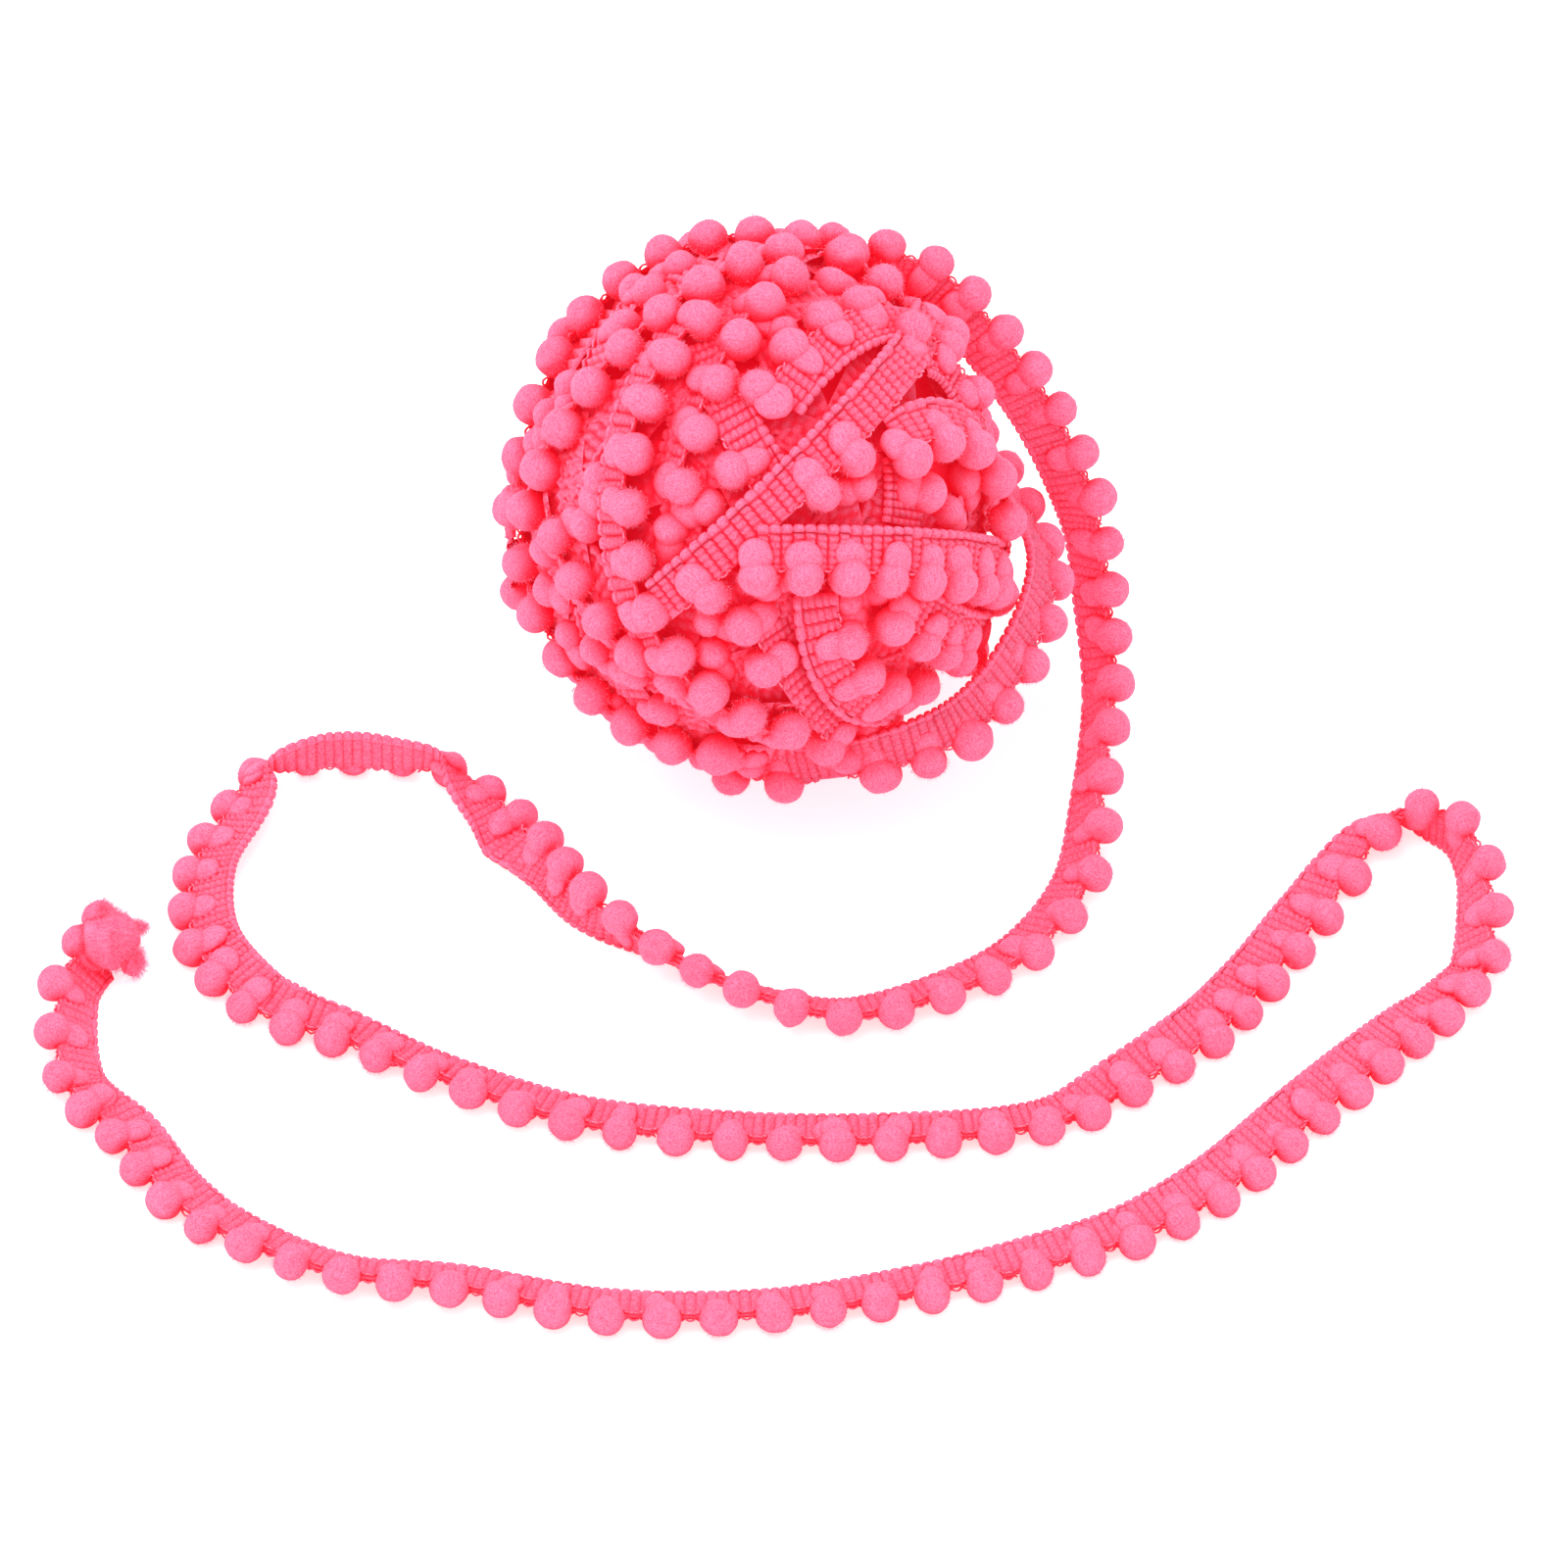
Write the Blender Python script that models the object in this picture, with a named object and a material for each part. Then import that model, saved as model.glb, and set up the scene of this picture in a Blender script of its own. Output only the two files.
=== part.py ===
"""Narrow pompom fringe trim: a ball of wound trim with its loose end laid out on the surface in an S.

Millimetres are used for every size and turned into metres by MM. The ball rests on a small flat spot whose centre
is the origin, +Z is up, +X runs along the S and the loose end lies in front of the ball, towards -Y.

The trim's section is described by two directions: "across", from the tape's outer edge (0) to the pompoms, and
"face", square to the tape. Along the trim, places are given as pompom numbers, so one unit is one pompom's pitch.
"""

import math
from collections import namedtuple

import bmesh
import bpy
from mathutils import Vector

MM = 0.001

# ---- the trim's section, mm ----
TAPE_WIDTH = 5.3  # bare heading tape, from its outer edge to the footing of the pompoms
TAPE_THICKNESS = 1.5
PART_GAP = 0.3  # between the tape and the footing, and between two runs of a row
FOOT_WIDTH = 2.0
FOOT_THICKNESS = 1.4
POMPOM_AT = 8.8  # from the tape's outer edge to the middle of a pompom
POMPOM_RADIUS = 3.15
POMPOM_PITCH = 9.2
FOOT_INNER = TAPE_WIDTH + PART_GAP
FOOT_OUTER = FOOT_INNER + FOOT_WIDTH
WOUND_TAPE_WIDTH = FOOT_OUTER  # tape and footing are one where the trim is wound

# ---- the ball, mm ----
BALL_CENTRE = Vector((-2.7, 0.0, 47.5))
BALL_SQUEEZE = 0.885  # side to side, against its height and depth
CORE_RADIUS = 42.0
CORE_SUBDIVISIONS = 2
UNDER_TURNS = 4  # bare turns that show between the listed ones
UNDER_RADIUS = 44.2
UNDER_SWEEP = 350.0  # degrees
UNDER_TILT_STEP = 137.5  # degrees from one under turn's axis to the next
BURIED = 3.0  # how deep a wound strip's solid reaches into the layers under it
SEAT_RADIUS = 15.0  # the flat spot
SEAT_SHOULDER_RADIUS = 27.0
SEAT_SHOULDER_HEIGHT = 10.0
FACE_ELEVATION = math.radians(50.0)  # the ball's described face looks forward and up at this angle
WOUND_STEP = 13.0  # between the sections of a wound turn
WOUND_POMPOM_RADIUS = 3.4
LEAST_APART = 8.9  # between the middles of two pompoms where turns cross
BALL_SOLVER = "MANIFOLD"  # the exact solver leaves open edges where many turns cross
FLOOR_BLOCK = 90.0  # half the side of the block that cuts the flat spot
FLOOR_BLOCK_DEPTH = 30.0

PINK = (0.90, 0.13, 0.30, 1.0)

# Turns on the ball, as seen on its face: right and up from the middle of the face, mm, for the line through the
# pompoms at the turn's start, middle and end; how far the line is from the ball's centre; which side of the line
# the tape is NOT on (1: pompoms to the left of travel, -1: to the right); how far the pompoms are tipped outwards,
# degrees; and how far the turn runs on round the ball before its start and after its end, degrees.
Turn = namedtuple("Turn", "name start middle end radius side tip before after")
TURNS = (
    Turn("rim", (-4.0, 46.0), (-43.2, 8.0), (-22.3, -38.5), 46.3, 1, 40.0, 60.0, 20.0),
    Turn("second_row", (3.8, 43.2), (-26.0, 25.5), (-39.5, 5.8), 46.3, 1, 35.0, 20.0, 12.0),
    Turn("third_row", (12.0, 42.5), (-6.7, 26.2), (-15.5, 3.0), 46.0, 1, 35.0, 20.0, 0.0),
    Turn("front_row", (-12.0, 31.0), (-24.5, 2.8), (-3.7, -36.3), 47.3, 1, 25.0, 0.0, 12.0),
    Turn("lower_row", (-38.3, 2.8), (-33.3, -13.5), (-19.0, -28.3), 45.5, 1, 30.0, 0.0, 40.0),
    Turn("upper_diagonal", (-2.5, 19.5), (4.2, 27.8), (15.8, 34.2), 46.0, 1, 8.0, 0.0, 25.0),
    Turn("under_diagonal", (-14.5, 20.0), (-8.0, 7.5), (-2.5, -1.3), 45.0, -1, 8.0, 10.0, 0.0),
    Turn("long_diagonal", (-12.5, -16.8), (8.0, 2.0), (25.8, 22.0), 47.0, -1, 5.0, 8.0, 25.0),
    Turn("level_turn", (0.8, -12.2), (20.3, -12.5), (41.0, -16.0), 48.6, -1, 12.0, 5.0, 30.0),
    Turn("low_edge", (-5.0, -20.5), (0.0, -30.5), (8.3, -40.5), 46.0, -1, 30.0, 0.0, 25.0),
    Turn("low_band", (11.7, -14.7), (12.5, -22.2), (18.3, -31.0), 46.2, 1, 8.0, 0.0, 30.0),
    Turn("side_band", (20.3, -20.5), (28.5, -25.0), (36.0, -27.5), 47.6, -1, 8.0, 0.0, 30.0),
    Turn("right_arc", (23.3, 7.8), (35.0, 8.7), (39.5, -4.0), 49.0, -1, 20.0, 0.0, 20.0),
    Turn("short_band", (25.0, 8.5), (25.5, 2.0), (25.0, -4.5), 44.8, 1, 8.0, 0.0, 0.0),
    Turn("shoulder", (23.3, 29.5), (30.8, 24.5), (35.0, 16.0), 47.4, 1, 15.0, 0.0, 25.0),
)
# The far side repeats these turns, turned half round the ball's face.
FAR_TURNS = ("second_row", "front_row", "lower_row", "upper_diagonal", "long_diagonal", "level_turn", "right_arc")

# The slack turn that hangs off the ball's lower right: a pompom's number, its place and the trim's roll.
Row = namedtuple("Row", "number x y z roll")
SLACK_TURN = (
    Row(-1.0, -16.5, -31.5, 17.0, 262.0),
    Row(1.0, 1.7, -38.1, 19.5, 262.0),
    Row(3.0, 18.0, -39.6, 24.0, 258.0),
    Row(5.0, 33.5, -34.8, 27.3, 240.0),
    Row(7.0, 43.2, -21.5, 31.2, 244.0),
    Row(9.0, 47.6, -4.0, 32.6, 240.0),
    Row(11.0, 42.6, 13.4, 31.6, 234.0),
    Row(13.0, 35.0, 29.0, 32.0, 228.0),
    Row(15.0, 23.0, 40.0, 35.0, 222.0),
    Row(17.0, 6.0, 42.5, 39.0, 218.0),
)

# The loose end, from the ball's top to the cut end. Roll 0 lays the pompoms to the left of travel, 90 stands them
# up on the tape and 180 lays them to the right. "z" is given while the trim is held up by the ball, and None once
# it rests on the surface.
TAIL = (
    Row(-6.0, -8.0, 29.8, 76.5, 60.0),
    Row(-4.0, 10.0, 34.8, 76.0, 60.0),
    Row(-2.0, 27.5, 31.5, 73.9, 60.0),
    Row(0.0, 39.2, 25.3, 63.2, 58.0),
    Row(2.0, 48.5, 20.2, 49.0, 56.0),
    Row(4.0, 55.0, 13.6, 33.6, 52.0),
    Row(6.0, 57.2, 6.6, 17.6, 50.0),
    Row(8.0, 58.1, -5.6, None, 52.0),
    Row(10.0, 56.3, -26.2, None, 50.0),
    Row(12.0, 54.3, -46.1, None, 32.0),
    Row(14.0, 44.4, -62.5, None, 24.0),
    Row(16.0, 29.3, -72.5, None, 26.0),
    Row(18.0, 11.8, -77.8, None, 31.0),
    Row(20.0, -5.5, -73.0, None, 47.0),
    Row(22.0, -19.8, -64.7, None, 62.0),
    Row(24.0, -31.5, -52.7, None, 104.0),
    Row(26.0, -38.9, -40.4, None, 126.0),
    Row(27.0, -43.3, -31.8, None, 180.0),
    Row(28.0, -48.6, -26.1, None, 207.0),
    Row(29.0, -55.2, -20.9, None, 240.0),
    Row(30.0, -63.2, -21.6, None, 266.0),
    Row(31.0, -71.7, -21.0, None, 273.0),
    Row(32.0, -79.5, -21.4, None, 266.0),
    Row(33.0, -88.2, -21.8, None, 232.0),
    Row(34.0, -92.8, -29.4, None, 207.0),
    Row(36.0, -99.0, -44.3, None, 208.0),
    Row(38.0, -98.6, -60.5, None, 200.0),
    Row(40.0, -89.9, -73.6, None, 189.0),
    Row(41.0, -82.4, -78.3, None, 181.0),
    Row(42.0, -74.8, -80.8, None, 167.0),
    Row(44.0, -59.6, -89.2, None, 156.0),
    Row(47.0, -35.1, -99.5, None, 162.0),
    Row(50.0, -7.4, -103.4, None, 163.0),
    Row(53.0, 19.7, -103.8, None, 163.0),
    Row(56.0, 46.1, -100.7, None, 161.0),
    Row(58.0, 61.0, -92.0, None, 176.0),
    Row(60.0, 74.8, -81.1, None, 194.0),
    Row(62.0, 84.1, -68.4, None, 179.0),
    Row(64.0, 93.5, -53.8, None, 177.0),
    Row(66.0, 103.5, -36.9, None, 150.0),
    Row(67.0, 110.0, -34.1, None, 95.0),
    Row(68.0, 116.8, -36.9, None, 74.0),
    Row(69.0, 121.2, -45.7, None, 55.0),
    Row(71.0, 121.9, -64.4, None, 32.0),
    Row(72.0, 118.2, -70.7, None, 24.0),
    Row(74.0, 108.7, -81.1, None, 4.0),
    Row(77.0, 92.7, -98.0, None, -10.0),
    Row(80.0, 75.6, -115.9, None, -9.0),
    Row(82.0, 61.2, -125.2, None, 5.0),
    Row(84.0, 44.2, -131.9, None, 8.0),
    Row(86.0, 26.6, -136.7, None, 15.0),
    Row(89.0, 0.1, -142.0, None, 21.0),
    Row(92.0, -28.3, -142.1, None, 20.0),
    Row(95.0, -54.8, -136.4, None, 24.0),
    Row(97.0, -72.9, -134.1, None, 29.0),
    Row(99.0, -89.3, -126.6, None, 23.0),
    Row(101.0, -102.8, -116.1, None, 9.0),
    Row(103.0, -111.6, -102.0, None, 11.0),
    Row(105.0, -120.8, -89.9, None, 24.0),
    Row(107.0, -121.7, -70.7, None, 36.0),
    Row(108.0, -117.7, -61.8, None, 38.0),
    Row(109.0, -113.0, -58.4, None, 38.0),
)
FIRST_WOUND = -6  # first pompom of the loose end's stretch that is still part of the ball
TAIL_START = 1.5  # where the trim leaves the ball
TAIL_END = 108.5
RUN_STARTS = (2, 8, 14, 20, 29, 32, 36, 42, 51, 61, 68, 73, 84, 95, 105)  # first pompom of each run of the row
LAST_POMPOM = 108
TAPE_RINGS = 3  # rings of the tape to a pompom's pitch
FLOOR_CLEARANCE = 0.02  # a resting section's lowest point

# Rings of one pompom in a row: place along the trim, in pitches, and size, as a share of the pompom's radius.
POMPOM_RINGS = ((-0.33, 0.0), (-0.15, 0.95), (0.15, 0.95), (0.33, 0.0))

# The frayed cut end: rings of a ragged tuft, their place beyond the tape's end, size and shift.
TUFT_RINGS = ((0.0, 3.6, 1.6), (1.8, 4.6, 3.3), (4.0, 4.2, 4.0), (6.2, 5.0, 3.2), (7.6, 4.6, 1.2))
TUFT_SIDES = 7


def clear_scene():
    for obj in list(bpy.data.objects):
        bpy.data.objects.remove(obj, do_unlink=True)


def yarn_material(name):
    material = bpy.data.materials.new(name)
    material.use_nodes = True
    shader = material.node_tree.nodes["Principled BSDF"]
    shader.inputs["Base Color"].default_value = PINK
    shader.inputs["Roughness"].default_value = 0.9
    shader.inputs["Metallic"].default_value = 0.0
    return material


def add_object(name, points, faces, material):
    """A mesh object from points in mm, its faces turned outwards."""
    mesh = bpy.data.meshes.new(name)
    mesh.from_pydata([tuple(point * MM) for point in points], [], faces)
    tidy = bmesh.new()
    tidy.from_mesh(mesh)
    bmesh.ops.recalc_face_normals(tidy, faces=tidy.faces)
    tidy.to_mesh(mesh)
    tidy.free()
    mesh.materials.append(material)
    obj = bpy.data.objects.new(name, mesh)
    bpy.context.scene.collection.objects.link(obj)
    return obj


def tube_of(rings):
    """Points and faces of a closed tube through rings of equal count, with flat ends."""
    sides = len(rings[0])
    points = [point for ring in rings for point in ring]
    faces = [tuple(range(sides))[::-1]]
    for start in range(0, len(points) - sides, sides):
        for side in range(sides):
            after = (side + 1) % sides
            faces.append((start + side, start + after, start + sides + after, start + sides + side))
    faces.append(tuple(range(len(points) - sides, len(points))))
    return points, faces


# ---- routes given by a table of pompom numbers ----


def hermite(before, here, there, after, number):
    """Smooth value between two (number, value) pairs, given the pairs on either side."""
    span = there[0] - here[0]
    share = (number - here[0]) / span
    leave = (there[1] - before[1]) / (there[0] - before[0])
    arrive = (after[1] - here[1]) / (after[0] - here[0])
    square, cube = share * share, share**3
    return (
        (2 * cube - 3 * square + 1) * here[1]
        + (cube - 2 * square + share) * span * leave
        + (3 * square - 2 * cube) * there[1]
        + (cube - square) * span * arrive
    )


def read_table(rows, column, number):
    """The value of one column at a pompom number."""
    last = len(rows) - 2
    index = max(i for i in range(last + 1) if i == 0 or rows[i].number <= number)
    around = [rows[max(0, min(last + 1, index + step))] for step in (-1, 0, 1, 2)]
    return hermite(*[(row.number, getattr(row, column)) for row in around], number)


def resting_height(roll):
    """Height of a pompom's middle when the trim rests on the surface at this roll."""
    sine, cosine = math.sin(roll), math.cos(roll)
    half_tape = TAPE_THICKNESS / 2
    corners = [(-POMPOM_AT, half_tape), (-POMPOM_AT, -half_tape)]
    corners += [(POMPOM_RADIUS, 0.0), (0.0, POMPOM_RADIUS), (0.0, -POMPOM_RADIUS)]
    return FLOOR_CLEARANCE - min(across * sine + face * cosine for across, face in corners)


def with_heights(rows):
    """The rows with each None of the column z worked out from the roll."""
    return [row._replace(z=resting_height(math.radians(row.roll))) if row.z is None else row for row in rows]


class Route:
    """The line through the pompoms of a stretch of trim, and the directions of its section."""

    def __init__(self, rows):
        self.rows = with_heights(rows)
        self.resting_from = next((row.number for row in rows if row.z is None), math.inf)

    def roll(self, number):
        return math.radians(read_table(self.rows, "roll", number))

    def place(self, number):
        x, y, z = (read_table(self.rows, column, number) for column in ("x", "y", "z"))
        if number >= self.resting_from:
            z = resting_height(self.roll(number))
        return Vector((x, y, z))

    def section(self, number):
        """(middle of the pompom line, across, face) at a pompom number."""
        step = 0.05
        ahead = self.place(number + step) - self.place(number - step)
        if number > self.resting_from:
            ahead.z = 0.0
        ahead.normalize()
        left = Vector((-ahead.y, ahead.x, 0.0)).normalized()
        up = ahead.cross(left)
        roll = self.roll(number)
        across = math.cos(roll) * left + math.sin(roll) * up
        return self.place(number), across, ahead.cross(across)

    def point(self, number, across_mm, face_mm):
        """A point of the trim, across_mm from the tape's outer edge and face_mm off its middle plane."""
        middle, across, face = self.section(number)
        return middle + (across_mm - POMPOM_AT) * across + face_mm * face


def tape_rings(route, numbers, width):
    half = TAPE_THICKNESS / 2
    corners = ((0.0, -half), (width, -half), (width, half), (0.0, half))
    return [[route.point(number, *corner) for corner in corners] for number in numbers]


def steps(first, last, per_pitch):
    count = max(1, round((last - first) * per_pitch))
    return [first + (last - first) * i / count for i in range(count + 1)]


def row_ring(route, number, share):
    """A four-sided ring of a pompom row: the footing alone, or the footing swollen to a pompom."""
    radius = share * POMPOM_RADIUS
    outer = max(FOOT_OUTER, POMPOM_AT + radius) if share else FOOT_OUTER
    middle = POMPOM_AT if share else (FOOT_INNER + FOOT_OUTER) / 2
    half = max(FOOT_THICKNESS / 2, radius)
    corners = ((FOOT_INNER, 0.0), (middle, -half), (outer, 0.0), (middle, half))
    return [route.point(number, *corner) for corner in corners]


def row_rings(route, first, last, half_gap):
    """Rings of a run of the row from pompom first to pompom last."""
    rings = [row_ring(route, first - 0.5 + half_gap, 0.0)]
    for pompom in range(first, last + 1):
        rings += [row_ring(route, pompom + place, share) for place, share in POMPOM_RINGS]
    rings.append(row_ring(route, last + 0.5 - half_gap, 0.0))
    return rings


# ---- the loose end ----


def tail_tape(route, material):
    numbers = steps(TAIL_START + PART_GAP / POMPOM_PITCH, TAIL_END, TAPE_RINGS)
    add_object("tail_tape", *tube_of(tape_rings(route, numbers, TAPE_WIDTH)), material)


def tuft_rings(route):
    """The ragged tuft at the cut end, one ring of uneven radius after another."""
    middle, across, face = route.section(TAIL_END)
    along = across.cross(face)
    rings = []
    for beyond, across_mm, radius in TUFT_RINGS:
        centre = middle + (across_mm - POMPOM_AT) * across + (PART_GAP + beyond) * along
        centre.z = max(centre.z, radius + FLOOR_CLEARANCE)
        ring = []
        for side in range(TUFT_SIDES):
            angle = math.tau * side / TUFT_SIDES
            uneven = radius * (1.0 + 0.12 * math.sin(3 * angle + beyond))
            offset = uneven * (math.cos(angle) * across + math.sin(angle) * face)
            point = centre + offset
            point.z = max(point.z, FLOOR_CLEARANCE)
            ring.append(point)
        rings.append(ring)
    return rings


def tail_rows(route, material):
    half_gap = PART_GAP / 2 / POMPOM_PITCH
    lasts = [start - 1 for start in RUN_STARTS[1:]] + [LAST_POMPOM]
    for run, (first, last) in enumerate(zip(RUN_STARTS, lasts), start=1):
        rings = row_rings(route, first, last, half_gap)
        add_object(f"tail_pompoms_{run:02d}", *tube_of(rings), material)
    add_object("cut_end_tuft", *tube_of(tuft_rings(route)), material)


# ---- the ball ----


def face_directions(far):
    """Right, up and outward directions of the ball's described face, or of its far side."""
    right = Vector((1.0, 0.0, 0.0))
    up = Vector((0.0, math.sin(FACE_ELEVATION), math.cos(FACE_ELEVATION)))
    out = Vector((0.0, -math.cos(FACE_ELEVATION), math.sin(FACE_ELEVATION)))
    return (-right, up, -out) if far else (right, up, out)


def round_place(spot, radius, far):
    """A spot of the face as a point of a round ball about its own centre, before the squeeze."""
    right, up, out = face_directions(far)
    across, height = (spot[0] - BALL_CENTRE[0]) / BALL_SQUEEZE, spot[1]
    depth = math.sqrt(max(0.0, radius**2 - across**2 - height**2))
    return (across * right + height * up + depth * out).normalized() * radius


def circle_through(start, middle, end):
    """Centre, two square directions and the sweep of the circle from start through middle to end."""
    normal = (middle - start).cross(end - middle).normalized()
    centre = normal * start.dot(normal)
    first = start - centre
    second = normal.cross(first)
    angle = math.atan2((end - centre).dot(second), (end - centre).dot(first)) % math.tau
    return centre, first, second, angle


def wound_frames(turn, far, spacing):
    """Frames (middle, across, face) along a turn of the ball, about this far apart, mm."""
    corners = [round_place(spot, turn.radius, far) for spot in (turn.start, turn.middle, turn.end)]
    centre, first, second, sweep = circle_through(*corners)
    low, high = -math.radians(turn.before), sweep + math.radians(turn.after)
    return circle_frames((centre, first, second), (low, high), turn.side, turn.tip, spacing)


def circle_frames(circle, sweep, side, tip, spacing):
    centre, first, second = circle
    low, high = sweep
    count = max(2, round((high - low) * first.length / spacing))
    frames = []
    for i in range(count + 1):
        angle = low + (high - low) * i / count
        place = centre + math.cos(angle) * first + math.sin(angle) * second
        ahead = math.cos(angle) * second - math.sin(angle) * first
        out = place.normalized()
        left = out.cross(ahead).normalized() * side
        across = math.cos(math.radians(tip)) * left + math.sin(math.radians(tip)) * out
        place.x *= BALL_SQUEEZE
        frames.append((BALL_CENTRE + place, across, ahead.normalized().cross(across)))
    return frames


def framed_point(frame, across_mm, face_mm):
    middle, across, face = frame
    return middle + (across_mm - POMPOM_AT) * across + face_mm * face


def wound_strip(frames, side):
    """Rings of a wound strip: its outer face stands half its thickness proud, and it is buried on the inside."""
    proud, deep = side * TAPE_THICKNESS / 2, -side * BURIED
    corners = ((WOUND_TAPE_WIDTH / 2, deep), (WOUND_TAPE_WIDTH, proud), (0.0, proud))
    return [[framed_point(frame, *corner) for corner in corners] for frame in frames]


def under_turns():
    """Bare turns all round the ball, each about an axis of its own."""
    strips = []
    for index in range(UNDER_TURNS):
        height = 1.0 - (index + 0.5) / UNDER_TURNS
        turn = math.radians(UNDER_TILT_STEP * index)
        level = math.sqrt(1.0 - height**2)
        axis = Vector((level * math.cos(turn), level * math.sin(turn), height))
        first = axis.orthogonal().normalized() * UNDER_RADIUS
        circle = (Vector(), first, axis.cross(first))
        frames = circle_frames(circle, (0.0, math.radians(UNDER_SWEEP)), 1, 0.0, WOUND_STEP)
        strips.append(tube_of(wound_strip(frames, 1)))
    return strips


def ball_core():
    """The packed inside of the ball, as (points, faces)."""
    core = bmesh.new()
    bmesh.ops.create_icosphere(core, subdivisions=CORE_SUBDIVISIONS, radius=CORE_RADIUS)
    points = [BALL_CENTRE + Vector((v.co.x * BALL_SQUEEZE, v.co.y, v.co.z)) for v in core.verts]
    faces = [tuple(v.index for v in face.verts) for face in core.faces]
    core.free()
    return points, faces


def ball_seat():
    """The pressed underside that the flat spot is cut from."""
    rings = []
    sizes = ((-3.0, SEAT_RADIUS), (0.0, SEAT_RADIUS), (SEAT_SHOULDER_HEIGHT, SEAT_SHOULDER_RADIUS))
    for height, radius in sizes:
        turns = [math.tau * side / 24 for side in range(24)]
        rings.append([Vector((radius * math.cos(a), radius * math.sin(a), height)) for a in turns])
    return tube_of(rings)


def wound_pompom(middle, radius):
    ball = bmesh.new()
    bmesh.ops.create_icosphere(ball, subdivisions=1, radius=radius)
    points = [middle + v.co for v in ball.verts]
    faces = [tuple(v.index for v in face.verts) for face in ball.faces]
    ball.free()
    return points, faces


def wound_ball(tail, slack, material):
    """The ball as one solid: core, seat, turns and their pompoms, cut flat where it rests."""
    pieces = [ball_seat(), *under_turns()]
    pompoms = []
    layouts = [(turn, False) for turn in TURNS]
    layouts += [(turn, True) for turn in TURNS if turn.name in FAR_TURNS]
    for turn, far in layouts:
        pieces.append(tube_of(wound_strip(wound_frames(turn, far, WOUND_STEP), turn.side)))
        pompoms += [frame[0] for frame in wound_frames(turn, far, POMPOM_PITCH)]
    for route, first, last in ((tail, FIRST_WOUND, RUN_STARTS[0] - 1), (slack, 0, 16)):
        pieces.append(tube_of(tape_rings(route, steps(first - 0.4, last + 0.5, 1.2), WOUND_TAPE_WIDTH)))
        pompoms += [route.place(number) for number in range(first, last + 1)]
    kept = []
    for middle in pompoms:
        if middle.z > POMPOM_RADIUS and all((middle - other).length > LEAST_APART for other in kept):
            kept.append(middle)
    pieces += [wound_pompom(middle, WOUND_POMPOM_RADIUS) for middle in kept]
    turns = bpy.data.collections.new("turns")

    ball = add_object("wound_ball", *ball_core(), material)
    for index, (points, faces) in enumerate(pieces):
        helper = add_object(f"turn_{index}", points, faces, material)
        turns.objects.link(helper)
        bpy.context.scene.collection.objects.unlink(helper)
    join = ball.modifiers.new("wind", "BOOLEAN")
    join.operation = "UNION"
    join.solver = BALL_SOLVER
    join.operand_type = "COLLECTION"
    join.collection = turns
    floor = add_object("floor_cutter", *tube_of(square_rings(FLOOR_BLOCK, -FLOOR_BLOCK_DEPTH, 0.0)), material)
    cut = ball.modifiers.new("rest", "BOOLEAN")
    cut.operation = "DIFFERENCE"
    cut.solver = BALL_SOLVER
    cut.object = floor
    keep_outer_skin(ball)
    for helper in [*turns.objects, floor]:
        bpy.data.objects.remove(helper, do_unlink=True)


def square_rings(half, low, high):
    corners = ((-half, -half), (half, -half), (half, half), (-half, half))
    return [[Vector((x, y, z)) for x, y in corners] for z in (low, high)]


def keep_outer_skin(obj):
    """Applies the object's modifiers and drops the skins of the hollows that the turns close off inside."""
    graph = bpy.context.evaluated_depsgraph_get()
    mesh = bpy.data.meshes.new_from_object(obj.evaluated_get(graph))
    obj.modifiers.clear()
    obj.data = mesh
    skin = bmesh.new()
    skin.from_mesh(mesh)
    waiting = set(skin.verts)
    islands = []
    while waiting:
        front = [waiting.pop()]
        island = set(front)
        while front:
            vert = front.pop()
            near = {edge.other_vert(vert) for edge in vert.link_edges} & waiting
            waiting -= near
            island |= near
            front += near
        islands.append(island)
    outer = max(islands, key=len)
    bmesh.ops.delete(skin, geom=[v for v in skin.verts if v not in outer], context="VERTS")
    skin.to_mesh(mesh)
    skin.free()


def main():
    clear_scene()
    tail = Route(TAIL)
    slack = Route(SLACK_TURN)
    wound_ball(tail, slack, yarn_material("wound_yarn"))
    tail_tape(tail, yarn_material("tape_yarn"))
    tail_rows(tail, yarn_material("pompom_yarn"))


main()
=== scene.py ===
"""Looks of the narrow pompom fringe trim: a wound ball of trim and its loose end, laid out in an S.

Sizes are in millimetres, turned into metres by MM where a mesh is made. A place along the trim is given as a
pompom number, so one unit is one pompom's pitch. Across the trim, 0 is the tape's outer edge.
"""

import math
from collections import namedtuple

import bmesh
import bpy
import numpy as np
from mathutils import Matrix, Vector


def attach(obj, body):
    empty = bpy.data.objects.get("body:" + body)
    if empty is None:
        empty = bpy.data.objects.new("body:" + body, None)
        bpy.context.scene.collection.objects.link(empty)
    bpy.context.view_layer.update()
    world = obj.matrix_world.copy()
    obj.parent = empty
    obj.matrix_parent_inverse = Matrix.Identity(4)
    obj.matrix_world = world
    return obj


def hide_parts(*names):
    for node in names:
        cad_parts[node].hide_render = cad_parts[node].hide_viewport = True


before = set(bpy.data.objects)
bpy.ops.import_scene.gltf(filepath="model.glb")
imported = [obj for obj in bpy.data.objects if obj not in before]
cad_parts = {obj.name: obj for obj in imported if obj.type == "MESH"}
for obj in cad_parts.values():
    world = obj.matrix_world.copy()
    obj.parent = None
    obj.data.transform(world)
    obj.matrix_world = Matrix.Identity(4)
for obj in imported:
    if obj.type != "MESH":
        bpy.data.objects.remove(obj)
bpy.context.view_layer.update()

MM = 0.001
SEED = 7

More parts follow.
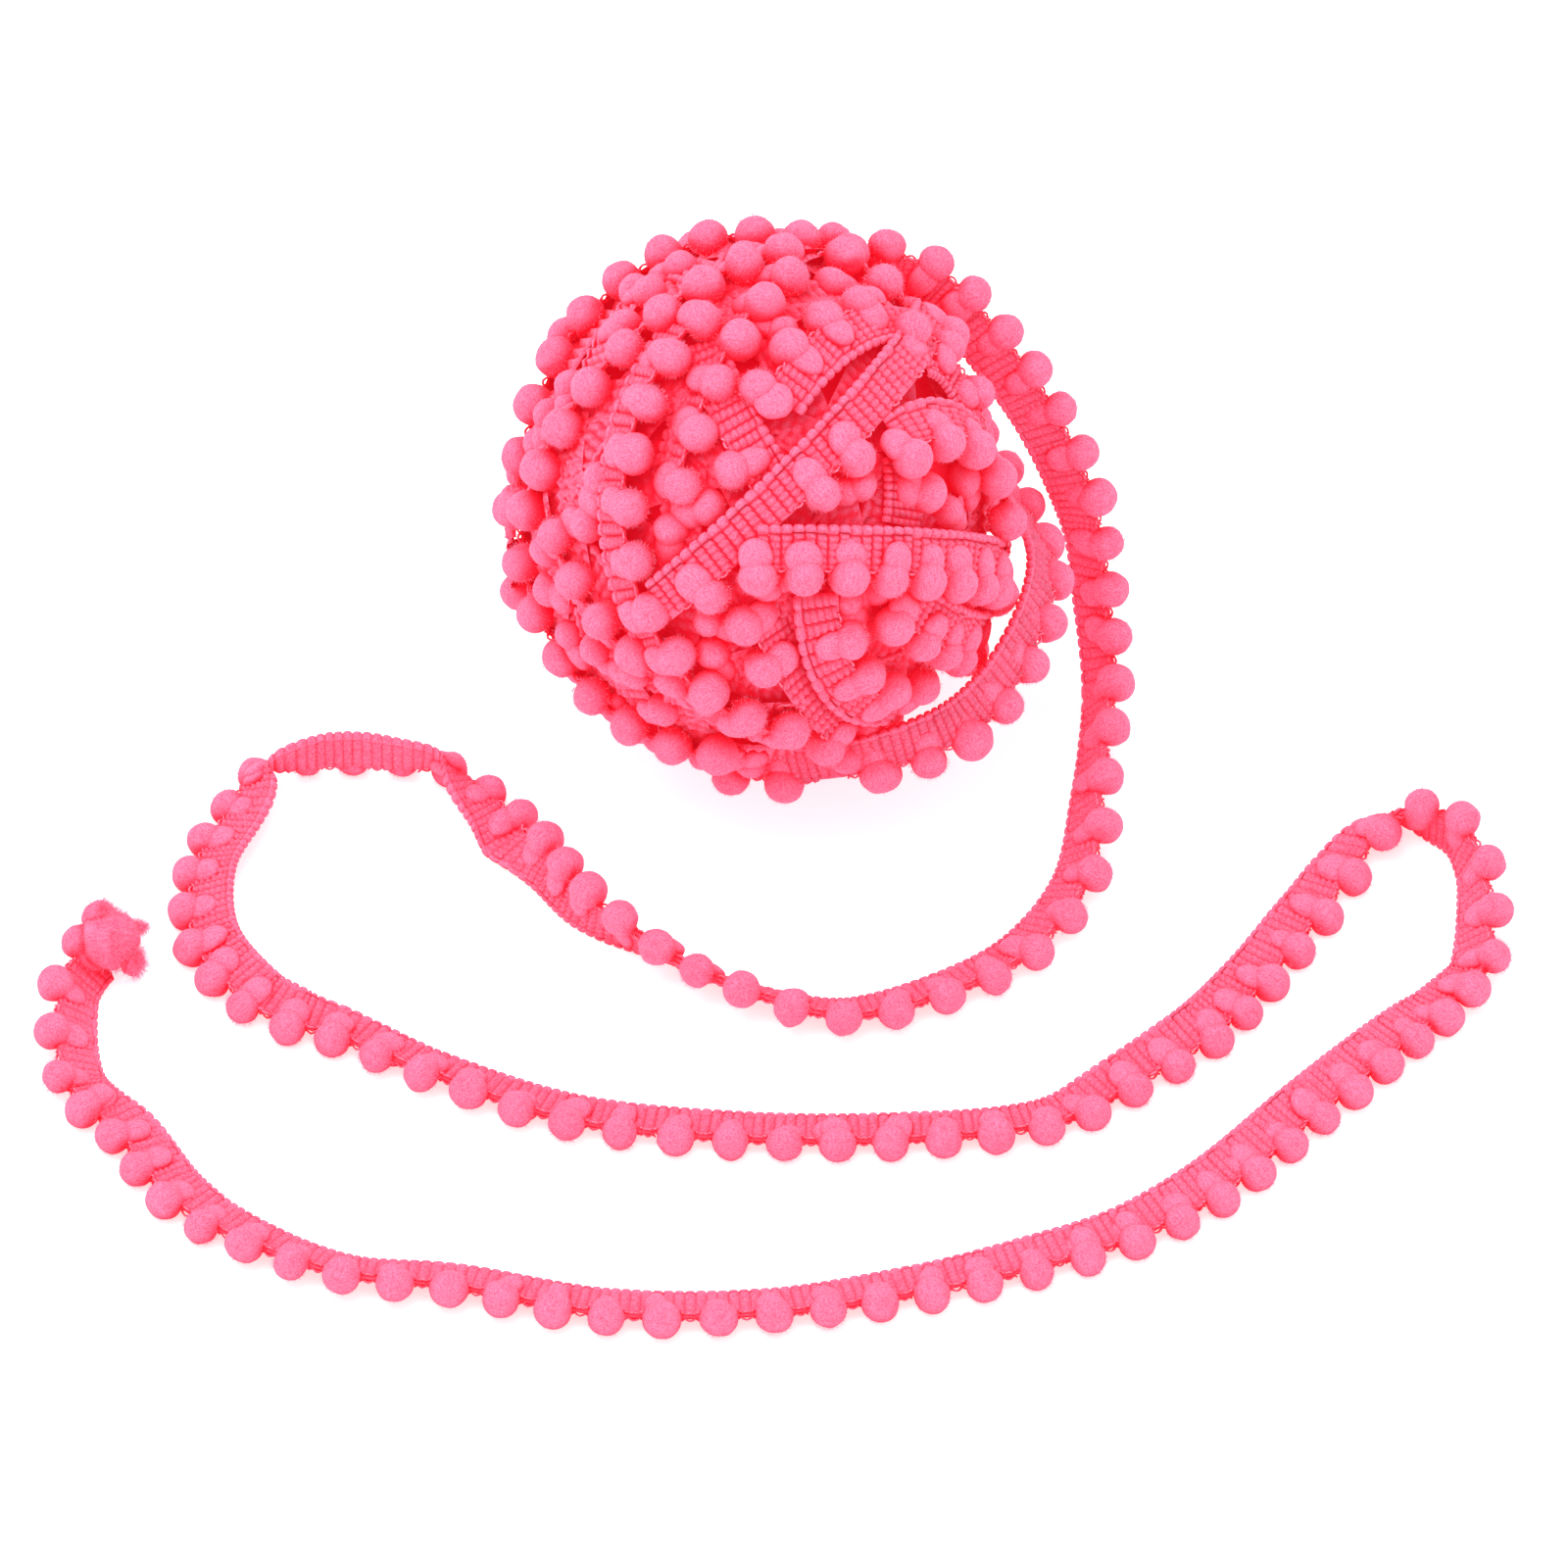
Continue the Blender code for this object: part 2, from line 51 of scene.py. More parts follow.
# ---- the trim's section, mm, as in the solids ----
TAPE_WIDTH = 7.9
POMPOM_AT = 8.8  # from the tape's outer edge to the middle of a pompom
POMPOM_RADIUS = 3.15
POMPOM_PITCH = 9.2
SOLID_TAPE_THICKNESS = 1.5  # what the resting heights are worked out from
FLOOR_CLEARANCE = 0.02
TABLE_STEPS = 12  # samples for each pompom along a stretch that a table describes
TURN_STEPS = 10  # and along a turn of the ball
LENGTH_STEPS = 2000

# ---- the tape's relief, mm ----
RIB_HALF_THICKNESS = 1.0
OUTER_EDGE_HALF_THICKNESS = 0.05
INNER_EDGE_HALF_THICKNESS = 0.15
BEAD_SCALLOP = 0.45  # how far the outer edge draws in between two bead loops
STITCH_STAGGER = 0.35  # how far a rib's stitches may stand out of line, as a share of a stitch
RIB_UNEVENNESS = 0.09
RELIEF = {-1: 1.0, 1: 0.8}  # the strength of the knitting on each face
WORN_RISE = 0.8  # the even height, as a share of a rib's, that a face without knitting would have
# Painted light and shade of the tape: how light the bead loops, inner edge and rib tops are painted, with the
# hollows between them painted darker red as shade.
BEAD_PAINTED_LIGHT = 0.5
INNER_EDGE_PAINTED_LIGHT = 0.7  # painted shade: the edge at the pompoms is painted less deep red than a groove
RISE_PAINTED_LIGHT = 0.85  # painted light: how much lighter a rib's top is painted than the painted shade of the groove beside it
# Samples of one rib: place, as a share of its pitch, and height. They lie close together at the groove
# between two ribs.
RIB_SAMPLES = ((0.0, 0.0), (0.2, 0.85), (0.5, 1.0), (0.8, 0.85))
PLAIN_RIB_SAMPLES = ((0.0, 0.0), (0.5, 1.0))
# Samples across the bead loops: place, as a share of their width, and height, as a share of the full height.
BEAD_SAMPLES = ((0.0, 0.0), (0.12, 0.6), (0.45, 1.0), (0.82, 0.75), (1.0, 0.1))
BEAD_SHARE = 0.9  # samples up to this share of the bead loops' width are theirs, the rest the ribs'
SAME_PLACE = 0.01
# How a stretch is knitted: ribs to a pompom's pitch and their samples; the bead loops' width, half thickness
# and half thickness between two loops; stitches along a rib and how far it sinks between them; the half
# thickness of the grooves and how light they are painted, against their painted shade.
Knit = namedtuple(
    "Knit", "ribs samples bead_width bead_half notch_half stitches dip groove_half groove_light"
)
WOUND_KNIT = Knit(4, RIB_SAMPLES, 1.6, 1.1, 0.35, 5, 0.62, 0.1, 0.05)
DEEP_KNIT = Knit(4, PLAIN_RIB_SAMPLES, 1.6, 1.1, 0.5, 3, 0.6, 0.1, 0.1)
LOOSE_KNIT = Knit(5, RIB_SAMPLES, 1.15, 0.8, 0.45, 6, 0.8, 0.35, 0.35)

# ---- the ball, mm ----
BALL_CENTRE = np.array((-2.7, 0.0, 47.5))
BALL_SQUEEZE = 0.885
FACE_ELEVATION = math.radians(50.0)
CORE_RADIUS = 41.0
CORE_WRINKLES = 6.0  # how many times finer than a pompom's the lumps of the core are
WOUND_POMPOM_RADIUS = 3.45
LEAST_APART = 6.4
LEAST_HEIGHT = 2.0  # of a pompom's middle above the floor
FILL_TURNS = 15  # deeper turns that show between the listed ones
FILL_RADIUS = 43.6
FILL_TIP = 12.0
FILL_AXIS_STEP = 137.5  # degrees from one filling turn's axis to the next
FILL_LEAST_APART = 5.6
FILL_HAIRS_PER_POMPOM = 60
TAPE_CLEARANCE = 4.3  # pompoms of deeper turns are squashed out of sight this near a tape over them
TAPE_WATCH = (0.25, 0.6)  # where across a tape, as shares of its width, that nearness is measured
TAPE_WATCH_STEP = 0.2  # and how often along it, in pompom numbers
UPRIGHT_TIP = 25.0  # the tape of a turn tipped out this far, in degrees, covers nothing

# Turns on the ball, as seen on its face. The line through a turn's pompoms passes start, middle and end, each
# right and up from the middle of the face, mm. radius is the line's distance from the ball's centre. side is
# the side of travel that the pompoms are on, 1 left and -1 right. tip is how far they are tipped outwards,
# and before and after are how far the turn runs on round the ball past its start and end, all in degrees.
Turn = namedtuple("Turn", "name start middle end radius side tip before after")
TURNS = (
    Turn("rim", (-4.0, 46.0), (-43.2, 8.0), (-22.3, -38.5), 46.3, 1, 40.0, 60.0, 20.0),
    Turn("second_row", (3.8, 43.2), (-26.0, 25.5), (-39.5, 5.8), 46.3, 1, 35.0, 20.0, 12.0),
    Turn("third_row", (12.0, 42.5), (-6.7, 26.2), (-15.5, 3.0), 46.0, 1, 35.0, 20.0, 0.0),
    Turn("front_row", (-12.0, 31.0), (-24.5, 2.8), (-3.7, -36.3), 47.3, 1, 25.0, 0.0, 12.0),
    Turn("lower_row", (-38.3, 2.8), (-33.3, -13.5), (-19.0, -28.3), 45.5, 1, 30.0, 0.0, 40.0),
    Turn("upper_diagonal", (-2.5, 19.5), (4.2, 27.8), (15.8, 34.2), 46.0, 1, 8.0, 0.0, 25.0),
    Turn("under_diagonal", (-14.5, 20.0), (-8.0, 7.5), (-2.5, -1.3), 45.0, -1, 8.0, 10.0, 0.0),
    Turn("long_diagonal", (-12.5, -16.8), (8.0, 2.0), (25.8, 22.0), 47.0, -1, 5.0, 8.0, 25.0),
    Turn("level_turn", (0.8, -12.2), (20.3, -12.5), (41.0, -16.0), 48.6, -1, 12.0, 5.0, 30.0),
    Turn("low_edge", (-5.0, -20.5), (0.0, -30.5), (8.3, -40.5), 46.0, -1, 30.0, 0.0, 25.0),
    Turn("low_band", (11.7, -14.7), (12.5, -22.2), (18.3, -31.0), 46.2, 1, 8.0, 0.0, 30.0),
    Turn("side_band", (20.3, -20.5), (28.5, -25.0), (36.0, -27.5), 47.6, -1, 8.0, 0.0, 30.0),
    Turn("right_arc", (23.3, 7.8), (35.0, 8.7), (39.5, -4.0), 49.0, -1, 20.0, 0.0, 20.0),
    Turn("short_band", (25.0, 8.5), (25.5, 2.0), (25.0, -4.5), 44.8, 1, 8.0, 0.0, 0.0),
    Turn("shoulder", (23.3, 29.5), (30.8, 24.5), (35.0, 16.0), 47.4, 1, 15.0, 0.0, 25.0),
)
# The turns that the far side has too, and how far each runs on after its end there, degrees.
FAR_TURNS = {
    "second_row": 12.0,
    "front_row": 12.0,
    "lower_row": 40.0,
    "upper_diagonal": 25.0,
    "long_diagonal": 25.0,
    "level_turn": 0.0,
    "right_arc": 12.0,
}

# A place along a stretch of trim: the number of the pompom there, where its middle lies, and the trim's roll,
# degrees. Roll 0 lays the pompoms to the left of travel, 90 stands them up on the tape and 180 lays them to
# the right. z is None where the trim rests on the floor.
Place = namedtuple("Place", "pompom x y z roll")

# The slack turn that hangs off the ball's lower right.
SLACK_TURN = (
    Place(-1.0, -16.5, -31.5, 17.0, 262.0),
    Place(1.0, 1.7, -38.1, 19.5, 262.0),
    Place(3.0, 18.0, -39.6, 24.0, 258.0),
    Place(5.0, 33.5, -34.8, 27.3, 240.0),
    Place(7.0, 43.2, -21.5, 31.2, 244.0),
    Place(9.0, 47.6, -4.0, 32.6, 240.0),
    Place(11.0, 42.6, 13.4, 31.6, 234.0),
    Place(13.0, 35.0, 29.0, 32.0, 228.0),
    Place(15.0, 23.0, 40.0, 35.0, 222.0),
    Place(17.0, 6.0, 42.5, 39.0, 218.0),
)
SLACK_START = -0.4
SLACK_END = 16.5
SLACK_LAST_POMPOM = 16

# The loose end, from the ball's top to the cut end.
TAIL = (
    Place(-6.0, -8.0, 29.8, 76.5, 60.0),
    Place(-4.0, 10.0, 34.8, 76.0, 60.0),
    Place(-2.0, 27.5, 31.5, 73.9, 60.0),
    Place(0.0, 39.2, 25.3, 63.2, 58.0),
    Place(2.0, 48.5, 20.2, 49.0, 56.0),
    Place(4.0, 55.0, 13.6, 33.6, 52.0),
    Place(6.0, 57.2, 6.6, 17.6, 50.0),
    Place(8.0, 58.1, -5.6, None, 52.0),
    Place(10.0, 56.3, -26.2, None, 50.0),
    Place(12.0, 54.3, -46.1, None, 32.0),
    Place(14.0, 44.4, -62.5, None, 24.0),
    Place(16.0, 29.3, -72.5, None, 26.0),
    Place(18.0, 11.8, -77.8, None, 31.0),
    Place(20.0, -5.5, -73.0, None, 47.0),
    Place(22.0, -19.8, -64.7, None, 62.0),
    Place(24.0, -31.5, -52.7, None, 104.0),
    Place(26.0, -38.9, -40.4, None, 126.0),
    Place(27.0, -43.3, -31.8, None, 180.0),
    Place(28.0, -48.6, -26.1, None, 207.0),
    Place(29.0, -55.2, -20.9, None, 240.0),
    Place(30.0, -63.2, -21.6, None, 266.0),
    Place(31.0, -71.7, -21.0, None, 273.0),
    Place(32.0, -79.5, -21.4, None, 266.0),
    Place(33.0, -88.2, -21.8, None, 232.0),
    Place(34.0, -92.8, -29.4, None, 207.0),
    Place(36.0, -99.0, -44.3, None, 208.0),
    Place(38.0, -98.6, -60.5, None, 200.0),
    Place(40.0, -89.9, -73.6, None, 189.0),
    Place(41.0, -82.4, -78.3, None, 181.0),
    Place(42.0, -74.8, -80.8, None, 167.0),
    Place(44.0, -59.6, -89.2, None, 156.0),
    Place(47.0, -35.1, -99.5, None, 162.0),
    Place(50.0, -7.4, -103.4, None, 163.0),
    Place(53.0, 19.7, -103.8, None, 163.0),
    Place(56.0, 46.1, -100.7, None, 161.0),
    Place(58.0, 61.0, -92.0, None, 176.0),
    Place(60.0, 74.8, -81.1, None, 194.0),
    Place(62.0, 84.1, -68.4, None, 179.0),
    Place(64.0, 93.5, -53.8, None, 177.0),
    Place(66.0, 103.5, -36.9, None, 150.0),
    Place(67.0, 110.0, -34.1, None, 95.0),
    Place(68.0, 116.8, -36.9, None, 74.0),
    Place(69.0, 121.2, -45.7, None, 55.0),
    Place(71.0, 121.9, -64.4, None, 32.0),
    Place(72.0, 118.2, -70.7, None, 24.0),
    Place(74.0, 108.7, -81.1, None, 4.0),
    Place(77.0, 92.7, -98.0, None, -10.0),
    Place(80.0, 75.6, -115.9, None, -9.0),
    Place(82.0, 61.2, -125.2, None, 5.0),
    Place(84.0, 44.2, -131.9, None, 8.0),
    Place(86.0, 26.6, -136.7, None, 15.0),
    Place(89.0, 0.1, -142.0, None, 21.0),
    Place(92.0, -28.3, -142.1, None, 20.0),
    Place(95.0, -54.8, -136.4, None, 24.0),
    Place(97.0, -72.9, -134.1, None, 29.0),
    Place(99.0, -89.3, -126.6, None, 23.0),
    Place(101.0, -102.8, -116.1, None, 9.0),
    Place(103.0, -111.6, -102.0, None, 11.0),
    Place(105.0, -120.8, -89.9, None, 24.0),
    Place(107.0, -121.7, -70.7, None, 36.0),
    Place(108.0, -117.7, -61.8, None, 38.0),
    Place(109.0, -113.0, -58.4, None, 38.0),
)
TAIL_START = -6.0
TAIL_END = 108.5
LAST_POMPOM = 108

# ---- pompoms, mm ----
VARIANTS = 7  # differently lumped pompoms
POMPOM_GROWTH = (0.96, 1.06)
POMPOM_STRETCH = (0.93, 1.05)  # along each of its axes
POMPOM_TILT = 0.10
ROOT_DRAW_IN = 0.28  # how much narrower a pompom is at its root
ROOT_CURVE = 1.5  # how late it draws in
ROOT_REACH = 1.12
TIP_REACH = 0.99
HAIRS_PER_POMPOM = 420
HAIR_LENGTH = (0.25, 0.85)
HAIR_WIDTH = 0.07
HAIR_LEAN = 0.55
HAIR_ROOT = 0.97  # as a share of the pompom's radius
HAIRS_IN_FRONT = 0.8  # the share of them on the half away from the tape
# A lobe of yarn at a pompom's root: how far it lies back over the tape from the pompom's middle, and its half
# sizes across, along and off the tape.
Lobe = namedtuple("Lobe", "back half_sizes")
WOUND_LOBE = Lobe(3.3, (3.5, 3.1, 1.8))
LOOSE_LOBE = Lobe(3.1, (3.3, 2.6, 1.5))
LOBE_GROWTH = (0.84, 1.12)
LOBE_BACK_SPREAD = (0.88, 1.1)
LOBE_ASIDE = 0.5
LOBE_OFF = 0.5
# Painted light and shade of a round thing: how light the yarn is painted at its middle, and how much lighter
# at its tip.
POMPOM_PAINTED_LIGHT = (0.75, 0.35)
LOBE_PAINTED_LIGHT = (1.0, -0.5)
# The tuft's tip is its top, so it is painted lighter on top, as if lit from above.
TUFT_PAINTED_LIGHT = (0.7, 0.4)
SWING = -2.6  # how far the pompoms swing behind the tape where it stands on edge
SWING_FROM = 29.2  # pompom numbers of that stretch
SWING_TO = 32.8
# Soft unevenness of a round thing: the number of waves over it and their height, as a share of its radius.
Lumps = namedtuple("Lumps", "waves height")
POMPOM_LUMPS = Lumps(14, 0.024)
LOBE_LUMPS = Lumps(8, 0.035)
TUFT_LUMPS = Lumps(24, 0.07)
CORE_LUMPS = Lumps(30, 0.02)
WAVE_FINENESS = (3.0, 9.0)

# ---- the chain stitches between two pompoms, mm ----
STITCH_POINTS = np.linspace(-2.5, 2.5, 7)
STITCH_HALF_LENGTH = 1.5
STITCH_BOW = 0.7
STITCH_BOW_WAVE = 0.9
STITCH_CROSSING = 0.6
STITCH_RISE = 0.45
STITCH_RISE_SPREAD = 0.35
STITCH_RISE_WAVE = 1.2
STITCH_GROWTH = (0.85, 1.15)
STITCH_THREAD_RADIUS = 0.24
STITCH_INSET = 0.3  # from the tape's inner edge
THREAD_HELPER = (0.31, 0.17, 0.93)  # a direction that no thread runs in

# ---- the frayed cut end, mm ----
# A clump of frayed yarn: its place right, back and up from the last pompom, and its half sizes.
Clump = namedtuple("Clump", "right back up half_sizes")
TUFT_CLUMPS = (
    Clump(5.2, -0.8, 1.6, (4.6, 5.0, 4.8)),
    Clump(3.3, 2.6, 3.6, (2.9, 2.6, 2.6)),
    Clump(9.0, -3.6, -0.9, (2.0, 2.6, 2.1)),
    Clump(9.4, 1.9, 1.6, (1.7, 0.9, 0.9)),
)
TUFT_HAIRS = 5200
TUFT_HAIR_LENGTH = (0.8, 2.6)

# ---- yarns ----
PALE_PINK = (0.88, 0.35, 0.53, 1.0)
LIGHT_PINK = (0.86, 0.25, 0.43, 1.0)
MID_PINK = (0.86, 0.115, 0.225, 1.0)
# The red of painted shade, in crevices, grooves and the core, and the colour of the painted glow.
PAINTED_SHADE_RED = (0.86, 0.010, 0.036, 1.0)
SHEEN_TINT = (1.0, 0.45, 0.6, 1.0)
YARN_ROUGHNESS = 0.9
YARN_SPECULAR = 0.1
SHEEN = 0.15
SHEEN_ROUGHNESS = 0.5
PAINTED_RED_GLOW = 0.23  # painted glow, standing in for the red light that comes through the yarn from all round into its shade
# Painted glow of the stray fibres.
STRAY_PAINTED_GLOW = 0.1
PAINTED_SHADE_REACH = 7.0 * MM  # painted shade: how far off a surface makes its neighbour's yarn painted deep red
PAINTED_SHADE_OPENNESS = (0.28, 0.9)  # occlusion from the deepest painted shade red to the lightest pink, unshaded
PAINTED_SHADE_RAYS = 6
UNSHADED_DEPTH = 0.6  # the depth value from which the yarn has no painted shade and is as light as it gets
FIBRE_TURNS = 15.0  # fibre places round a pompom and along it
FIBRE_RUN = 2.2
FIBRE_LEAST_AROUND = 0.15  # keeps the fibre places apart at a pompom's tip
FIBRE_SHIFT = 40.0  # how far apart the fibre places of two pompoms may lie
LOBE_FIBRE_SHIFT = 5.0
THREAD_FIBRES = 1.7
STREAK_NOISE = (3.0, 0.6)  # detail and roughness
GRAIN_NOISE = (4.0, 0.7)
PINK_RANGE = (-0.13, 0.10)  # from the middle pink to the light one, about the fluff's middle value
BUMP_HEIGHT = 0.3 * MM
# A yarn's look: the pink of its tips, the fineness and share of its streaks, the fineness of its grain, and
# how strongly both stand out.
Yarn = namedtuple("Yarn", "light streak_scale streak_share grain_scale bump")
POMPOM_YARN = Yarn(LIGHT_PINK, 1.0, 0.45, 3000.0, 0.55)
TAPE_YARN = Yarn(LIGHT_PINK, 2.2, 0.6, 3600.0, 0.7)
CHAIN_YARN = Yarn(PALE_PINK, 2.2, 0.6, 3600.0, 0.6)
# The made materials, one for each use.
Yarns = namedtuple("Yarns", "pompom tape chain stray")

# ---- camera, floor and light ----
VIEW_WIDTH = 266.7  # what the camera takes in at the middle of the view, mm
VIEW_CENTRE = Vector((1.67, -21.8, 0.0)) * MM
CAMERA_ELEVATION = math.radians(50.0)
CAMERA_DISTANCE = 8.0
CAMERA_NEAR = 0.1
CAMERA_FAR = 50.0
SENSOR_WIDTH = 36.0
FLOOR_HALF_WIDTH = 4.0
FLOOR_WHITE = (0.96, 0.96, 0.96, 1.0)
FLOOR_ROUGHNESS = 0.9
FLOOR_GLOW = 0.58  # the white table is lit from within
STUDIO_LIGHT = 0.95
KEY_PLACE = (-0.3, 0.05, 1.2)
KEY_SIZE = 1.0
KEY_POWER = 9.0


# ---------------------------------------------------------------- strips: frames along a stretch of trim


def hermite_column(numbers, values, at):
    """Smooth values of a table's column at these pompom numbers."""
    last = len(numbers) - 2
    index = np.clip(np.searchsorted(numbers, at, side="right") - 1, 0, last)
    before, after = np.maximum(index - 1, 0), np.minimum(index + 2, last + 1)
    span = numbers[index + 1] - numbers[index]
    share = (at - numbers[index]) / span
    leave = (values[index + 1] - values[before]) / (numbers[index + 1] - numbers[before])
    arrive = (values[after] - values[index]) / (numbers[after] - numbers[index])
    square, cube = share**2, share**3
    return (
        (2 * cube - 3 * square + 1) * values[index]
        + (cube - 2 * square + share) * span * leave
        + (3 * square - 2 * cube) * values[index + 1]
        + (cube - square) * span * arrive
    )


def unit(vectors):
    return vectors / np.maximum(np.linalg.norm(vectors, axis=-1, keepdims=True), 1e-9)


def resting_height(roll):
    """Height of a pompom's middle where the trim rests on the floor at this roll."""
    sine, cosine = np.sin(roll), np.cos(roll)
    half = SOLID_TAPE_THICKNESS / 2
    tape = ((-POMPOM_AT, half), (-POMPOM_AT, -half))
    pompom = ((POMPOM_RADIUS, 0.0), (0.0, POMPOM_RADIUS), (0.0, -POMPOM_RADIUS))
    return FLOOR_CLEARANCE - np.min([across * sine + face * cosine for across, face in tape + pompom], axis=0)


class Strip:
    """The line through the pompoms of a stretch of trim, finely sampled, with its section's directions."""

    def __init__(self, numbers, middle, ahead, across, outer_side):
        self.numbers = numbers
        self.middle = middle
        self.ahead = unit(ahead)
        self.across = unit(across)
        self.outer_side = outer_side  # the sign of the face that shows

    def frames(self, at):
        """(middle, across, ahead, face) at these pompom numbers, each an array of vectors."""
        def read(table):
            return np.stack([np.interp(at, self.numbers, table[:, axis]) for axis in range(3)], axis=-1)

        ahead = unit(read(self.ahead))
        across = read(self.across)
        across = unit(across - ahead * np.sum(across * ahead, axis=-1, keepdims=True))
        return read(self.middle), across, ahead, np.cross(ahead, across)

    def points(self, at, across_mm, face_mm):
        """Points of the trim for arrays of the same shape."""
        middle, across, _, face = self.frames(at)
        return middle + (across_mm - POMPOM_AT)[..., None] * across + face_mm[..., None] * face

    def length(self, low, high):
        steps = self.frames(np.linspace(low, high, LENGTH_STEPS))[0]
        return float(np.linalg.norm(np.diff(steps, axis=0), axis=1).sum())


def table_strip(places, outer_side):
    """The strip that a table of places describes."""
    numbers = np.array([place.pompom for place in places])
    rolls = np.array([math.radians(place.roll) for place in places])
    given = [resting_height(roll) if place.z is None else place.z for place, roll in zip(places, rolls)]
    resting_from = next((place.pompom for place in places if place.z is None), math.inf)
    columns = ([place.x for place in places], [place.y for place in places], given)
    steps = round((numbers[-1] - numbers[0]) * TABLE_STEPS)
    at = np.linspace(numbers[0], numbers[-1], steps + 1)
    roll = hermite_column(numbers, rolls, at)
    x, y, z = (hermite_column(numbers, np.array(column), at) for column in columns)
    resting = at >= resting_from
    z = np.where(resting, resting_height(roll), z)
    middle = np.stack([x, y, z], axis=-1)
    ahead = np.gradient(middle, axis=0)
    ahead[at > resting_from, 2] = 0.0
    ahead = unit(ahead)
    left = unit(np.stack([-ahead[:, 1], ahead[:, 0], np.zeros(len(at))], axis=-1))
    up = np.cross(ahead, left)
    across = np.cos(roll)[:, None] * left + np.sin(roll)[:, None] * up
    return Strip(at, middle, ahead, across, outer_side)


def face_directions(far):
    """Right, up and out of the ball's face, or of its far side."""
    right = np.array((1.0, 0.0, 0.0))
    up = np.array((0.0, math.sin(FACE_ELEVATION), math.cos(FACE_ELEVATION)))
    out = np.array((0.0, -math.cos(FACE_ELEVATION), math.sin(FACE_ELEVATION)))
    return (-right, up, -out) if far else (right, up, out)


def round_place(spot, radius, far):
    """A spot of the face as a point of a round ball about its own centre, before the squeeze."""
    right, up, out = face_directions(far)
    across, height = (spot[0] - BALL_CENTRE[0]) / BALL_SQUEEZE, spot[1]
    depth = math.sqrt(max(0.0, radius**2 - across**2 - height**2))
    return unit(across * right + height * up + depth * out) * radius


def circle_strip(centre, first, second, low, high, side, tip):
    """A strip along a circle on the ball, from angle low to high, one pompom number for each pitch."""
    arc = (high - low) * np.linalg.norm(first)
    pompoms = max(2, round(arc / POMPOM_PITCH))
    angles = np.linspace(low, high, pompoms * TURN_STEPS + 1)
    place = centre + np.cos(angles)[:, None] * first + np.sin(angles)[:, None] * second
    ahead = np.cos(angles)[:, None] * second - np.sin(angles)[:, None] * first
    out = unit(place)
    left = unit(np.cross(out, ahead)) * side
    across = math.cos(tip) * left + math.sin(tip) * out
    place[:, 0] *= BALL_SQUEEZE
    return Strip(np.linspace(0, pompoms, len(angles)), BALL_CENTRE + place, ahead, across, side)


def turn_strip(turn, far):
    """A listed turn as a strip: the circle through its three spots, run on past both ends."""
    after = FAR_TURNS[turn.name] if far else turn.after
    start, middle, end = (round_place(spot, turn.radius, far) for spot in (turn.start, turn.middle, turn.end))
    normal = unit(np.cross(middle - start, end - middle))
    centre = normal * (start @ normal)
    first = start - centre
    second = np.cross(normal, first)
    sweep = math.atan2((end - centre) @ second, (end - centre) @ first) % math.tau
    low, high = -math.radians(turn.before), sweep + math.radians(after)
    return circle_strip(centre, first, second, low, high, turn.side, math.radians(turn.tip))


def fill_strips():
    """Deeper turns all round the ball, each about an axis of its own."""
    strips = []
    for index in range(FILL_TURNS):
        height = 1.0 - (index + 0.5) / FILL_TURNS
        turn = math.radians(FILL_AXIS_STEP * index)
        level = math.sqrt(1.0 - height**2)
        axis = np.array((level * math.cos(turn), level * math.sin(turn), height))
        helper = np.array((0.0, 0.0, 1.0)) if height < 0.9 else np.array((1.0, 0.0, 0.0))
        first = unit(np.cross(axis, helper)) * FILL_RADIUS
        second = np.cross(axis, first)
        side = 1 if index % 2 else -1
        centre = np.zeros(3)
        strips.append(circle_strip(centre, first, second, 0.0, math.tau, side, math.radians(FILL_TIP)))
    return strips


# ---------------------------------------------------------------- meshes joined from many small shapes


class Skin:
    """Triangles of many small shapes, joined into one mesh, with a fibre place and a painted-shade depth at
    each point.
    """

    def __init__(self):
        self.points, self.faces, self.fibres, self.painted_shades = [], [], [], []
        self.count = 0

    def add(self, points, faces, fibres, painted_shades):
        """points (n, 3) in mm, faces (m, 3), fibres (n, 3), painted_shades (n,): painted shade from 0, the
        deepest red in a crevice, to 1, none at a tip.
        """
        self.points.append(points)
        self.faces.append(faces + self.count)
        self.fibres.append(fibres)
        self.painted_shades.append(painted_shades)
        self.count += len(points)

    def build(self, name, material):
        """The joined mesh as an object."""
        points = np.concatenate(self.points)
        points[:, 2] = np.maximum(points[:, 2], FLOOR_CLEARANCE)
        mesh = bpy.data.meshes.new(name)
        mesh.from_pydata(points * MM, [], np.concatenate(self.faces))
        fibre = mesh.attributes.new("fibre", "FLOAT_VECTOR", "POINT")
        fibre.data.foreach_set("vector", np.concatenate(self.fibres).astype(np.float32).ravel())
        # The depth attribute holds painted shade: 0 paints a point the deep red of shade, 1 leaves it
        # unshaded.
        depth = mesh.attributes.new("depth", "FLOAT", "POINT")
        depth.data.foreach_set("value", np.concatenate(self.painted_shades).astype(np.float32))
        mesh.shade_smooth()
        mesh.materials.append(material)
        obj = bpy.data.objects.new(name, mesh)
        bpy.context.scene.collection.objects.link(obj)
        return obj


def grid_faces(rows, columns, closed):
    """Triangles of a grid of rows by columns, its columns joined round if closed."""
    around = columns if closed else columns - 1
    row, column = np.meshgrid(np.arange(rows - 1), np.arange(around), indexing="ij")
    after = (column + 1) % columns
    a, b = row * columns + column, row * columns + after
    c, d = (row + 1) * columns + after, (row + 1) * columns + column
    halves = ((a, b, c), (a, c, d))
    return np.concatenate([np.stack(corners, axis=-1).reshape(-1, 3) for corners in halves])


# ---- the heading tape ----


